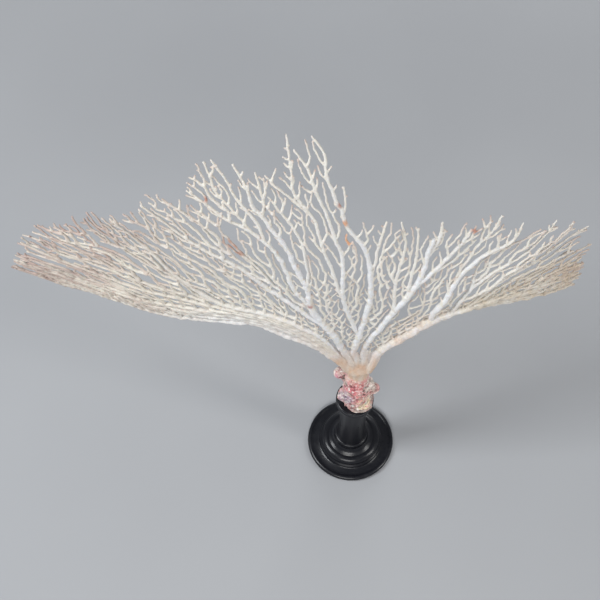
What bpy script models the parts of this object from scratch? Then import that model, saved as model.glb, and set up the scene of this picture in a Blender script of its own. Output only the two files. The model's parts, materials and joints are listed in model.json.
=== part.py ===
"""A dried sea fan: a stony foot of rock on a black turned stand, with branches spread in one curved sheet.

Frame: origin on the floor under the middle of the stand, X to the right of the fan, Y away from its
front, Z up. The fan's branches are laid out on a curved sheet. A place on it is a bearing in degrees
(0 right, 90 up, 180 left, seen from the front) and a distance in millimetres from the fan's root.
"""
import math
import random

import bmesh
import bpy
from mathutils import Vector, noise

MM = 0.001
GAP = 0.3

# Stand, turned in two pieces
FOOT_RADIUS = 50.0
FOOT_TOP = 26.0
STAND_HEIGHT = 135.0
COLLAR_RADIUS = 20.3
NECK_RADIUS = 14.4
STEM_SOCKET_RADIUS = 18.0
FOOT_SIDES = 32
STEM_SIDES = 24

# Rock that the fan grew on
ROCK_BOTTOM = STAND_HEIGHT + GAP
ROCK_TOP = 193.0
ROCK_ROUGHNESS = 2.2
ROCK_SIDES = 16
# Each ring: height, centre, half widths
ROCK_RINGS = [
    (ROCK_BOTTOM, (4.0, -3.0), (14.2, 13.8)),
    (138.5, (3.8, -3.4), (15.6, 15.2)),
    (147, (2.4, -2.6), (16.0, 15.4)),
    (156, (1.0, -1.8), (15.8, 14.8)),
    (165, (1.2, -1.0), (14.8, 13.6)),
    (174, (1.4, -0.8), (14.2, 12.6)),
    (184, (0.6, -0.4), (13.4, 11.2)),
    (ROCK_TOP, (0.0, 0.0), (12.8, 9.8)),
]
# Each lump: centre, half widths
ROCK_LUMPS = [
    ((-16.2, 7.5, 185.2), (7.6, 6.6, 6.9)),
    ((18.0, -3.0, 170.5), (6.6, 6.0, 7.0)),
    ((-11.8, -4.0, 154.5), (8.2, 8.0, 8.0)),
    ((9.0, -11.0, 147.0), (8.6, 8.4, 9.0)),
    ((-3.5, -12.0, 147.5), (6.4, 5.6, 6.6)),
]

# Fan sheet
ROOT = (0.0, 0.0, 198.0)
WING_SWEEP_LEFT = (0.342, 2.86)
WING_SWEEP_RIGHT = (0.613, 3.39)
UPRIGHT_LEAN = 0.02
CURL = 0.00055
BELLY = 0.12
BELLY_FADE = 120.0

# Web of fused limbs at the root
WEB_END = 62.0
WEB_BOTTOM = ROCK_TOP + GAP
WEB_COLUMNS = 21
# Each row: distance, right bearing, left bearing, half thickness of the skin between the limbs
WEB_ROWS = [
    (20, 60.5, 125.5, 7.4),
    (34, 65.0, 119.5, 4.8),
    (48, 67.4, 119.6, 2.8),
    (WEB_END, 69.6, 122.4, 1.5),
]
TRUNK_HALF_SIZE = (12.6, 9.6)
# Height and half widths where the trunk is narrowest
TRUNK_WAIST = (205.0, 11.4, 8.8)

# Growth of the side branches
STEP = 1.5
SEED = 9
FORK_GAP = 2.0
TWIG_RADIUS = 1.0
TIP_RADIUS = 0.85
CLEARANCE = 2.6
LIMB_SEGMENT = 13.0
TWIG_SEGMENT = 20.0
LIMB_SIDES = 5
TWIG_SIDES = 4

# Main limbs of each branch, as (bearing, distance, radius) points. Where a branch leaves another
# limb and not the web, its own solid starts at the distance in BRANCH_START.
LIMBS = {
    "branch_left_low": [
        [(119.6, 62, 3.3), (121.4, 80, 3.3), (124.3, 95, 3.4), (128.3, 108, 3.3), (131.3, 124, 3.1),
         (134, 141, 3.0), (140.5, 157, 2.8), (147.5, 171, 2.6), (153, 185, 2.4), (157.5, 203, 2.2),
         (161, 226, 2.1), (165, 252, 1.9), (169, 280, 1.7), (171.6, 308, 1.4), (173, 330, 1.2),
         (173.2, 353, 1.0)],
        [(117.2, 62, 3.0), (119, 82, 3.1), (121.5, 100, 3.0), (125.5, 116, 2.9), (128.8, 133, 2.8),
         (132.3, 150, 2.7), (138, 168, 2.5), (145, 188, 2.3), (150, 212, 2.1), (154.5, 242, 1.9),
         (158.5, 278, 1.6), (161.5, 315, 1.3), (162.8, 353, 1.0)],
        [(114.4, 62, 2.8), (116.2, 86, 2.8), (118.7, 105, 2.7), (122.8, 125, 2.6), (126.8, 143, 2.5),
         (131.6, 162, 2.4), (138, 182, 2.2), (143, 205, 2.1), (147, 235, 1.9), (150, 270, 1.6),
         (152, 310, 1.3), (152.5, 358, 1.0)],
        [(110.8, 62, 2.3), (112, 84, 2.5), (114.6, 104, 2.7), (118.9, 122, 2.8), (123.6, 140, 2.8),
         (128.3, 156, 2.8), (132.6, 172, 2.7), (135.7, 188, 2.6), (136.4, 206, 2.5), (136, 224, 2.3),
         (135.6, 245, 2.1), (134.7, 266, 1.8), (134, 288, 1.4), (133.5, 325, 1.0)],
    ],
    "branch_left_upper": [
        [(108.6, 121, 2.9), (111.2, 132, 2.8), (113.5, 146, 2.7), (115.2, 159, 2.6), (117.2, 174, 2.5),
         (118.6, 188, 2.4), (119.5, 204, 2.3), (120.3, 219, 2.1), (122, 235, 1.9), (124, 252, 1.6),
         (125.5, 275, 1.4), (126.5, 300, 1.2), (127.2, 322, 1.0)],
    ],
    "branch_left_main": [
        [(104.3, 62, 3.5), (105.2, 82, 3.8), (105.9, 100, 4.1), (107.4, 115, 3.9), (108.8, 130, 3.6),
         (109.2, 147, 3.3), (108.3, 163, 3.0), (107.3, 178, 2.8), (107.7, 192, 2.6), (107.9, 207, 2.5),
         (107.7, 222, 2.3), (108.2, 238, 2.2), (109.2, 254, 2.1), (109.8, 272, 1.9), (110.5, 286, 1.6),
         (110, 302, 1.3), (110.3, 328, 1.0)],
        [(109.2, 148, 2.4), (110.4, 160, 2.4), (111, 173, 2.3), (111, 188, 2.3), (110.7, 202, 2.2),
         (110.5, 216, 2.1), (110.8, 230, 2.0), (111.7, 243, 1.9), (113.1, 257, 1.7), (114.7, 269, 1.5),
         (116.2, 281, 1.3), (117.4, 298, 1.1), (119, 318, 0.9)],
        [(111.7, 243, 1.5), (111.3, 262, 1.5), (111.9, 281, 1.5), (112.5, 298, 1.3), (112.4, 313, 1.1),
         (113, 337, 0.9)],
        [(113.1, 257, 1.3), (113.7, 275, 1.3), (114.3, 290, 1.2), (115, 308, 1.1), (114.5, 323, 1.0),
         (114.2, 338, 0.9)],
        [(107.3, 178, 1.9), (105.4, 194, 1.8), (104.7, 212, 1.7), (104.3, 234, 1.5), (105.2, 255, 1.3),
         (106.4, 274, 1.1), (107.2, 290, 0.9)],
        [(109.7, 270, 1.3), (108.4, 284, 1.3), (108, 298, 1.2), (107.6, 316, 0.9)],
    ],
    "branch_centre_left": [
        [(91.3, 94, 2.4), (93.6, 107, 2.4), (95, 120, 2.3), (96, 132, 2.3), (96.9, 145, 2.2),
         (96.9, 165, 2.2), (96.5, 180, 2.1), (96.1, 197, 2.0), (95.9, 213, 1.9), (96.8, 230, 1.8),
         (97.4, 246, 1.6), (98.3, 268, 1.5), (99.3, 290, 1.4), (99.7, 308, 1.2), (101.2, 328, 0.9)],
        [(96.9, 158, 1.7), (98.2, 171, 1.7), (98.6, 188, 1.6), (99.2, 205, 1.6), (100, 222, 1.6),
         (100.2, 240, 1.5), (100.6, 258, 1.4), (102, 275, 1.3), (102.9, 290, 1.2), (102.4, 308, 1.1),
         (102.1, 325, 1.0), (101.8, 343, 0.9)],
        [(101.1, 263, 1.3), (103.6, 284, 1.2), (105.4, 300, 1.1), (106.4, 312, 0.9)],
    ],
    "branch_centre": [
        [(96.4, 62, 3.1), (94.0, 76, 3.5), (91.4, 94, 3.3), (89.6, 115, 2.9), (88.6, 136, 2.8),
         (88, 153, 2.7), (88.1, 167, 2.6), (88.6, 178, 2.5), (88.8, 191, 2.4), (89.6, 207, 2.3),
         (90.7, 221, 2.2), (92.3, 231, 2.1), (93.8, 242, 2.0), (94.7, 252, 1.9), (95.1, 264, 1.8),
         (96, 275, 1.7), (96.6, 288, 1.6), (97.1, 300, 1.5), (97, 312, 1.4), (97.1, 323, 1.2),
         (98.4, 337, 0.9)],
        [(88.7, 185, 1.6), (87.9, 199, 1.5), (87.7, 214, 1.5), (87.3, 228, 1.3), (86.6, 251, 0.9)],
        [(95, 258, 1.1), (94.4, 270, 1.0), (94.5, 288, 0.9)],
    ],
    "branch_right_main": [
        [(87.4, 62, 3.0), (86.4, 76, 3.1), (83.8, 93, 3.1), (80.9, 111, 3.1), (79.1, 128, 3.1),
         (77.8, 143, 3.2), (76.4, 158, 3.1), (75.5, 172, 3.0), (75, 187, 2.7), (75.2, 202, 2.5),
         (75.8, 217, 2.4), (76.1, 235, 2.2)],
        [(75.7, 213, 1.9), (75.1, 226, 1.8), (75, 240, 1.6), (75.7, 256, 1.2)],
        [(75.3, 176, 2.3), (73.7, 189, 2.2), (72.3, 202, 2.0), (71.2, 215, 1.8), (70.5, 228, 1.7),
         (69.9, 242, 1.6), (69.8, 257, 1.3)],
        [(73, 196, 1.6), (71, 205, 1.5), (69.3, 217, 1.4), (68.2, 232, 1.2), (67.6, 246, 0.9)],
        [(78.8, 132, 1.8), (79.2, 148, 1.7), (80.5, 164, 1.6), (81.2, 180, 1.6), (81.4, 198, 1.5),
         (81.3, 212, 1.4), (81.8, 230, 1.2), (83.6, 250, 0.9)],
        [(76.2, 161, 1.6), (76.9, 176, 1.6), (77.6, 190, 1.5), (77.9, 206, 1.4), (78.5, 220, 1.2),
         (80, 246, 0.9)],
    ],
    "branch_right_upper": [
        [(61.8, 136, 3.0), (63.6, 148, 2.9), (63.6, 162, 2.8), (64.1, 179, 2.5), (65, 193, 2.4),
         (64.8, 206, 2.2), (64.3, 219, 2.0), (63.4, 233, 1.8), (62.2, 244, 1.6), (60.9, 253, 1.4),
         (60.7, 264, 1.2), (61.6, 279, 0.9)],
        [(64.9, 190, 1.5), (66, 206, 1.4), (66, 222, 1.3), (66.4, 240, 1.2), (65.6, 258, 1.0),
         (65.8, 277, 0.9)],
    ],
    "branch_right_low": [
        [(74, 62, 4.8), (71, 80, 4.9), (65.9, 99, 5.0), (63.3, 115, 4.8), (61.7, 128, 4.6), (60, 140, 4.4),
         (57.5, 152, 4.0), (54.5, 162, 3.7), (51.8, 172, 3.3), (48.8, 184, 2.9), (45.5, 198, 2.5),
         (42.6, 212, 2.2), (40, 228, 1.8), (37.3, 250, 1.2)],
        [(55.5, 159, 2.6), (50.8, 168, 2.5), (47, 178, 2.3), (42.7, 190, 2.1), (38.5, 203, 1.9),
         (34.3, 218, 1.5), (31, 236, 1.0)],
        [(57.5, 152, 2.4), (58.6, 166, 2.4), (59, 182, 2.3), (58.8, 198, 2.2), (58, 213, 2.0),
         (57, 227, 1.8), (55.9, 242, 1.6), (55.6, 258, 1.4), (55.7, 276, 1.1), (56.3, 293, 0.9)],
        [(54.5, 162, 2.2), (54.3, 180, 2.1), (54, 200, 2.0), (53, 220, 1.8), (51.9, 240, 1.6),
         (51.2, 260, 1.4), (50.8, 280, 1.2), (50, 300, 0.9)],
        [(50.4, 177, 2.0), (49.7, 197, 1.9), (48.6, 215, 1.8), (47.4, 235, 1.6), (46.4, 255, 1.3),
         (44.8, 283, 0.9)],
    ],
}
BRANCH_START = {"branch_centre_left": 107.0, "branch_left_upper": 139.0, "branch_right_upper": 146.0}
FORK_PARENT = {
    "branch_centre_left": "branch_centre",
    "branch_left_upper": "branch_left_main",
    "branch_right_upper": "branch_right_low",
}

# Reach of the fan at each bearing
RIM = [
    (29, 225), (31, 236), (36, 250), (40, 262), (42.5, 268), (44.6, 281), (46, 264), (48.5, 288),
    (50, 299), (53, 299), (54.5, 286), (56.5, 292), (58.5, 274), (59.7, 262), (61.5, 279), (63, 262),
    (65.5, 277), (68, 276), (69.3, 262), (72.5, 262), (74, 246), (75.8, 256), (77, 236), (79, 249),
    (82, 244), (84, 250), (86.5, 252), (88, 245), (90, 253), (92, 249), (94.5, 262), (96, 300),
    (97.5, 336), (99, 339), (100.5, 330), (101.8, 343), (103.3, 326), (105.5, 327), (106.6, 312),
    (107.6, 318), (108.3, 330), (110.3, 328), (111.5, 310), (113, 337), (117.3, 337), (119, 320),
    (120.3, 304), (122, 318), (124.4, 330), (127, 324), (130, 326), (132, 322), (135.5, 340), (139, 345),
    (142.5, 351), (145.3, 361), (149, 355), (151.5, 365), (156, 355), (163, 354), (168, 356), (172, 359),
    (175, 350), (179, 336),
]

# Usual distance between neighbouring branches, along the way out
SPACING = [(60, 4.6), (100, 5.2), (140, 6.6), (175, 8.2), (230, 8.6), (300, 7.6), (360, 7.0)]

WOOD_COLOUR = (0.012, 0.012, 0.014, 1.0)
ROCK_COLOUR = (0.72, 0.50, 0.47, 1.0)
FAN_COLOUR = (0.83, 0.78, 0.69, 1.0)


def clear_scene():
    for obj in list(bpy.data.objects):
        bpy.data.objects.remove(obj, do_unlink=True)


def material(name, colour, roughness):
    made = bpy.data.materials.new(name)
    made.use_nodes = True
    shader = made.node_tree.nodes["Principled BSDF"]
    shader.inputs["Base Color"].default_value = colour
    shader.inputs["Roughness"].default_value = roughness
    shader.inputs["Metallic"].default_value = 0.0
    return made


def object_from(name, bm, made_of=None):
    bmesh.ops.recalc_face_normals(bm, faces=bm.faces)
    if bm.calc_volume(signed=True) < 0:
        bmesh.ops.reverse_faces(bm, faces=bm.faces)
    mesh = bpy.data.meshes.new(name)
    bm.to_mesh(mesh)
    bm.free()
    obj = bpy.data.objects.new(name, mesh)
    bpy.context.scene.collection.objects.link(obj)
    if made_of:
        mesh.materials.append(made_of)
    return obj


def boolean(base, other, operation):
    """Joins or cuts base with other, and removes other."""
    modifier = base.modifiers.new(operation.lower(), "BOOLEAN")
    modifier.operation = operation
    modifier.solver = "EXACT"
    modifier.object = other
    depsgraph = bpy.context.evaluated_depsgraph_get()
    result = bpy.data.meshes.new_from_object(base.evaluated_get(depsgraph))
    base.modifiers.clear()
    old = base.data
    base.data = result
    bpy.data.meshes.remove(old)
    cutter = other.data
    bpy.data.objects.remove(other, do_unlink=True)
    bpy.data.meshes.remove(cutter)


def between(table, x, column=1):
    """Value of a table's column at x, straight between its rows."""
    if x <= table[0][0]:
        return table[0][column]
    for low, high in zip(table, table[1:]):
        if x <= high[0]:
            share = (x - low[0]) / (high[0] - low[0])
            return low[column] + share * (high[column] - low[column])
    return table[-1][column]


def arc(centre, radius, start, end, steps):
    """Points of a profile's round stretch, angles in degrees."""
    points = []
    for i in range(steps + 1):
        angle = math.radians(start + (end - start) * i / steps)
        points.append((centre[0] + radius * math.cos(angle), centre[1] + radius * math.sin(angle)))
    return points


# Turned stand

def turned(name, profile, sides, made_of):
    """Solid of revolution from a profile of (radius, height) in mm that starts and ends on the axis."""
    bm = bmesh.new()
    rings = []
    for radius, height in profile:
        if radius < 0.01:
            rings.append([bm.verts.new((0, 0, height * MM))])
            continue
        ring = []
        for i in range(sides):
            angle = 2 * math.pi * i / sides
            point = Vector((radius * math.cos(angle), radius * math.sin(angle), height))
            ring.append(bm.verts.new(point * MM))
        rings.append(ring)
    for low, high in zip(rings, rings[1:]):
        for i in range(sides):
            j = (i + 1) % sides
            if len(low) == 1:
                bm.faces.new((low[0], high[j], high[i]))
            elif len(high) == 1:
                bm.faces.new((low[i], low[j], high[0]))
            else:
                bm.faces.new((low[i], low[j], high[j], high[i]))
    obj = object_from(name, bm, made_of)
    obj.data.shade_smooth()
    obj.data.set_sharp_from_angle(angle=math.radians(35))
    return obj


def make_foot(wood):
    """Low disc: rolled rim, shallow dish, a thin step, a wide roll and a cove up to the stem."""
    profile = [(0, 0), (FOOT_RADIUS - 1.6, 0)]
    profile += arc((FOOT_RADIUS - 3.2, 3.2), 3.2, -55, 100, 4)
    profile += [(43.5, 5.4), (37.5, 6.6), (35.9, 7.4), (35.6, 9.4)]
    profile += arc((27.2, 11.6), 6.6, -5, 105, 4)
    profile += [(22.2, 20.0), (STEM_SOCKET_RADIUS + 1.4, 23.2)]
    profile += [(STEM_SOCKET_RADIUS + 1.2, FOOT_TOP), (0, FOOT_TOP)]
    return turned("stand_foot", profile, FOOT_SIDES, wood)


def make_stem(wood):
    """Round column with a bead at its base, a long taper and a flat-topped collar."""
    bottom = FOOT_TOP + GAP
    profile = [(0, bottom), (STEM_SOCKET_RADIUS, bottom)]
    profile += arc((STEM_SOCKET_RADIUS - 1.4, bottom + 2.4), 2.2, -20, 90, 3)
    profile += [(16.6, bottom + 9.0), (15.2, bottom + 24.0)]
    profile += [(NECK_RADIUS, 92.0), (NECK_RADIUS + 0.4, 116.0)]
    profile += [(16.4, 123.0), (COLLAR_RADIUS - 0.8, 126.4), (COLLAR_RADIUS, 128.0)]
    profile += [(COLLAR_RADIUS, STAND_HEIGHT - 1.8), (COLLAR_RADIUS - 1.2, STAND_HEIGHT), (0, STAND_HEIGHT)]
    return turned("stand_stem", profile, STEM_SIDES, wood)


# Rock

def ring_solid(rings):
    """Closed mesh through rings of points in mm, flat at both ends."""
    bm = bmesh.new()
    loops = [[bm.verts.new(Vector(point) * MM) for point in ring_points] for ring_points in rings]
    count = len(loops[0])
    for low, high in zip(loops, loops[1:]):
        for i in range(count):
            j = (i + 1) % count
            bm.faces.new((low[i], low[j], high[j], high[i]))
    bm.faces.new(reversed(loops[0]))
    bm.faces.new(loops[-1])
    return bm


def make_rock(stone):
    """Knobbly upright lump, flat where it stands on the collar and where the fan grows from it."""
    rings = []
    for height, centre, half in ROCK_RINGS:
        points = []
        for i in range(ROCK_SIDES):
            angle = 2 * math.pi * i / ROCK_SIDES
            way = Vector((math.cos(angle), math.sin(angle), height * 0.05))
            bump = 1 + ROCK_ROUGHNESS / half[0] * noise.noise(way * 1.9)
            points.append((centre[0] + half[0] * way.x * bump, centre[1] + half[1] * way.y * bump, height))
        rings.append(points)
    rock = object_from("holdfast_rock", ring_solid(rings))
    for centre, half in ROCK_LUMPS:
        bm = bmesh.new()
        bmesh.ops.create_icosphere(bm, subdivisions=2, radius=1.0)
        for vert in bm.verts:
            way = vert.co.normalized()
            bump = 1 + 0.16 * noise.noise(way * 1.7 + Vector(centre))
            vert.co = [(centre[k] + half[k] * way[k] * bump) * MM for k in range(3)]
        boolean(rock, object_from("lump", bm), "UNION")
    rock.data.materials.clear()
    rock.data.materials.append(stone)
    return rock


# Fan sheet

def sheet_point(bearing, distance):
    """Place in mm on the fan's curved sheet: a shallow bowl with wings swept back."""
    angle = math.radians(bearing)
    turn = (bearing - 90) / 90
    share, power = WING_SWEEP_LEFT if turn > 0 else WING_SWEEP_RIGHT
    sweep = UPRIGHT_LEAN + share * abs(turn) ** power
    lift = max(0.0, math.sin(angle))
    back = distance * sweep + CURL * distance**2 * lift**2
    back -= BELLY * distance * math.exp(-distance / BELLY_FADE)
    return Vector(ROOT) + Vector((distance * math.cos(angle), back, distance * math.sin(angle)))


def limb_bearing(limb, distance):
    """Bearing of a limb at a distance, on a smooth curve through its points."""
    count = len(limb)
    if distance <= limb[0][1]:
        return limb[0][0]
    if distance >= limb[-1][1]:
        return limb[-1][0]
    i = max(k for k in range(count - 1) if limb[k][1] <= distance)

    def slope(k):
        low = limb[max(k - 1, 0)]
        high = limb[min(k + 1, count - 1)]
        return (high[0] - low[0]) / (high[1] - low[1])

    span = limb[i + 1][1] - limb[i][1]
    t = (distance - limb[i][1]) / span
    return ((2 * t**3 - 3 * t**2 + 1) * limb[i][0] + (t**3 - 2 * t**2 + t) * slope(i) * span
            + (3 * t**2 - 2 * t**3) * limb[i + 1][0] + (t**3 - t**2) * slope(i + 1) * span)


def limb_radius(limb, distance):
    return between([(point[1], point[2]) for point in limb], distance)


class Strand:
    """One unbranched run of the fan: a main limb, or a side branch that grew by itself."""

    def __init__(self, group, bearing, distance, parent=None, side=0, limb=None):
        self.group = group
        self.bearing = bearing
        self.points = [(bearing, distance)]
        self.parent = parent
        self.limb = limb
        self.slope = side * 0.62
        self.drift = 0.0
        self.last_fork = {-1: distance, 1: distance}
        self.children = []
        if parent:
            parent.children.append(self)

    def half_width(self, distance):
        return limb_radius(self.limb, distance) if self.limb else TWIG_RADIUS

    def may_fork(self, side, distance):
        """A strand forks where its last fork on that side is well behind it."""
        start = BRANCH_START.get(self.group, WEB_END) + 6
        return distance > start and distance - self.last_fork[side] > 9


def arc_gap(low, high, distance):
    """Free space in mm between two neighbours at the same distance from the root."""
    centres = math.radians(high.bearing - low.bearing) * distance
    return centres - low.half_width(distance) - high.half_width(distance)


def steer(front, distance):
    """Moves every strand one step outwards. Side branches keep to the middle of their space."""
    for i, strand in enumerate(front):
        if strand.limb:
            strand.next_bearing = limb_bearing(strand.limb, distance)
            continue
        wish = between(SPACING, distance) * FORK_GAP
        ahead = arc_gap(strand, front[i + 1], distance) if i + 1 < len(front) else wish
        behind = arc_gap(front[i - 1], strand, distance) if i else wish
        push = (min(ahead, wish) - min(behind, wish)) / wish
        strand.drift = 0.88 * (strand.drift + random.gauss(0, 0.08))
        strand.slope += 0.22 * (0.5 * push + strand.drift - strand.slope)
        strand.slope = max(-0.85, min(0.85, strand.slope))
        strand.next_bearing = strand.bearing + math.degrees(strand.slope * STEP / distance)
    for strand in front:
        strand.bearing = strand.next_bearing
        strand.points.append((strand.bearing, distance))


def crowded(front, distance):
    """Side branches that would touch a neighbour end there."""
    ended = set()
    for low, high in zip(front, front[1:]):
        if low in ended or high in ended or (low.limb and high.limb):
            continue
        related = low.parent is high or high.parent is low
        if related and min(len(low.points), len(high.points)) * STEP < 12:
            continue
        if arc_gap(low, high, distance) < CLEARANCE:
            ended.add(high if low.limb or len(high.points) < len(low.points) and not high.limb else low)
    return ended


def grow():
    """Grows the fan outwards from the web, all strands side by side, and returns the strands."""
    random.seed(SEED)
    waiting = sorted(((limb[0][1], group, limb) for group, limbs in LIMBS.items() for limb in limbs),
                     key=lambda item: item[0])
    front = []
    strands = []
    distance = WEB_END
    furthest = max(reach for _, reach in RIM)
    while distance < furthest:
        while waiting and waiting[0][0] <= distance:
            _, group, limb = waiting.pop(0)
            parent = None
            if limb[0][1] > WEB_END:
                parent = min((s for s in front if s.limb), key=lambda s: abs(s.bearing - limb[0][0]))
            strand = Strand(group, limb[0][0], distance, parent, limb=limb)
            strands.append(strand)
            front.append(strand)
        front.sort(key=lambda s: s.bearing)
        distance += STEP
        steer(front, distance)
        done = {s for s in front if distance > (s.limb[-1][1] if s.limb else between(RIM, s.bearing))}
        front = sorted((s for s in front if s not in done), key=lambda s: s.bearing)
        stopped = crowded(front, distance)
        front = [s for s in front if s not in stopped]
        born = []
        for low, high in zip(front, front[1:]):
            room = between(RIM, (low.bearing + high.bearing) / 2) - distance
            wish = between(SPACING, distance) * FORK_GAP * (1 + 0.3 * random.random())
            if room < 20 or arc_gap(low, high, distance) < wish:
                continue
            able = [(s, side) for s, side in ((low, 1), (high, -1)) if s.may_fork(side, distance)]
            if able:
                born.append(random.choice(able))
        for parent, side in born:
            parent.last_fork[side] = distance
            child = Strand(parent.group, parent.bearing, distance, parent, side)
            child.bearing += side * math.degrees(0.3 / distance)
            strands.append(child)
            front.append(child)
    return strands


# Fan solids

def ring(bm, centre, direction, radius, sides):
    """Polygon of a tube, square to its direction, with one corner facing the front."""
    front = Vector((0, -1, 0))
    across = direction.cross(front).normalized()
    out = across.cross(direction).normalized()
    verts = []
    for i in range(sides):
        angle = 2 * math.pi * i / sides
        way = out * math.cos(angle) + across * math.sin(angle)
        verts.append(bm.verts.new((centre + way * radius) * MM))
    return verts


def tube(path, sides, first_direction=None, last_direction=None):
    """Closed tube through a path of (point, radius) in mm."""
    bm = bmesh.new()
    rings = []
    for i, (point, radius) in enumerate(path):
        before = path[max(i - 1, 0)][0]
        after = path[min(i + 1, len(path) - 1)][0]
        direction = (after - before).normalized()
        if i == 0 and first_direction:
            direction = first_direction
        if i == len(path) - 1 and last_direction:
            direction = last_direction
        rings.append(ring(bm, point, direction, radius, sides))
    for low, high in zip(rings, rings[1:]):
        for i in range(sides):
            j = (i + 1) % sides
            bm.faces.new((low[i], low[j], high[j], high[i]))
    bm.faces.new(reversed(rings[0]))
    bm.faces.new(rings[-1])
    return object_from("tube", bm)


def limb_direction(limb, distance):
    """Way a limb runs. At the web it is straight away from the root, square to the web's edge."""
    if distance < WEB_END + 1:
        bearing = limb[0][0]
        return (sheet_point(bearing, distance) - sheet_point(bearing, distance - 1)).normalized()
    ahead = sheet_point(limb_bearing(limb, distance + 1), distance + 1)
    behind = sheet_point(limb_bearing(limb, distance - 1), distance - 1)
    return (ahead - behind).normalized()


def limb_path(limb, start, end):
    """Points and radii along a limb, evenly spaced by about one segment."""
    count = max(1, round((end - start) / LIMB_SEGMENT))
    path = []
    for i in range(count + 1):
        distance = start + (end - start) * i / count
        path.append((sheet_point(limb_bearing(limb, distance), distance), limb_radius(limb, distance)))
    return path


def limb_tube(limb, start, end, sides=LIMB_SIDES):
    return tube(limb_path(limb, start, end), sides, limb_direction(limb, start), limb_direction(limb, end))


def twig_path(strand):
    """Points and radii of a side branch, from inside its parent to its tip."""
    stride = round(TWIG_SEGMENT / STEP)
    picked = strand.points[::stride]
    if len(strand.points) % stride > stride // 2:
        picked.append(strand.points[-1])
    elif len(picked) > 1:
        picked[-1] = strand.points[-1]
    if len(picked) < 2:
        picked = [strand.points[0], strand.points[-1]]
    first = strand.parent.half_width(picked[0][1]) * 0.75
    first = min(first, TWIG_RADIUS + 0.04 * len(strand.points) ** 0.5)
    path = []
    for i, (bearing, distance) in enumerate(picked):
        share = i / (len(picked) - 1)
        path.append((sheet_point(bearing, distance), first + (TIP_RADIUS - first) * share))
    return path


def make_branch(name, strands, bone):
    """One branch: its limbs, the stubs of branches that leave it, and its side branches, as one body."""
    pieces = []
    for limb in LIMBS[name]:
        start = max(limb[0][1], BRANCH_START.get(name, 0))
        if limb[0][1] == WEB_END or start > limb[0][1]:
            start += GAP
        pieces.append(limb_tube(limb, start, limb[-1][1]))
    for child, parent in FORK_PARENT.items():
        if parent == name:
            limb = LIMBS[child][0]
            pieces.append(limb_tube(limb, limb[0][1], BRANCH_START[child]))
    for strand in strands:
        if strand.group == name and not strand.limb and len(strand.points) * STEP > 11:
            pieces.append(tube(twig_path(strand), TWIG_SIDES))
    branch = pieces[0]
    for piece in pieces[1:]:
        boolean(branch, piece, "UNION")
    branch.name = name
    branch.data.name = name
    branch.data.materials.clear()
    branch.data.materials.append(bone)
    return branch


def web_row(row):
    """Ring of points round the web at one distance: ribs for the limbs, thin skin between them."""
    distance, right, left, skin = row
    last_right, last_left = WEB_ROWS[-1][1:3]
    width = math.radians(left - right) * distance
    ribs = [((limb[0][0] - last_right) / (last_left - last_right), limb[0][2])
            for limbs in LIMBS.values() for limb in limbs if limb[0][1] == WEB_END]
    front, back = [], []
    for i in range(WEB_COLUMNS):
        share = i / (WEB_COLUMNS - 1)
        half = skin * (1 - (2 * share - 1) ** 4) ** 0.5
        for place, radius in ribs:
            half = max(half, max(0.0, radius**2 - ((share - place) * width) ** 2) ** 0.5)
        point = sheet_point(right + (left - right) * share, distance)
        front.append(point - Vector((0, half, 0)))
        back.append(point + Vector((0, half, 0)))
    back[0] = back[0] + Vector((0, 0.4, 0))
    front[0] = front[0] - Vector((0, 0.4, 0))
    back[-1] = back[-1] + Vector((0, 0.4, 0))
    front[-1] = front[-1] - Vector((0, 0.4, 0))
    return front[::-1] + back


def make_base(bone):
    """Short trunk that opens into a web of fused limbs."""
    count = 2 * WEB_COLUMNS
    rings = []
    for height, half_x, half_y in ((WEB_BOTTOM, *TRUNK_HALF_SIZE), TRUNK_WAIST):
        points = []
        for i in range(count):
            angle = math.pi + 2 * math.pi * (i + 0.5) / count
            points.append((half_x * math.cos(angle), half_y * math.sin(angle), height))
        rings.append(points)
    for row in WEB_ROWS:
        rings.append(web_row(row))
    return object_from("fan_base", ring_solid(rings), bone)


def build():
    clear_scene()
    wood = material("black_wood", WOOD_COLOUR, 0.32)
    stone = material("encrusted_rock", ROCK_COLOUR, 0.75)
    bone = material("dried_fan", FAN_COLOUR, 0.7)
    make_foot(wood)
    make_stem(wood)
    make_rock(stone)
    make_base(bone)
    strands = grow()
    for name in LIMBS:
        make_branch(name, strands, bone)


build()
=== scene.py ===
"""Looks of the sea fan: its fine branches, the crusted rock and the black turned stand."""
import json
import math
import random

import bmesh
import bpy
import numpy as np
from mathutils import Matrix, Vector, kdtree, noise

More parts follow.
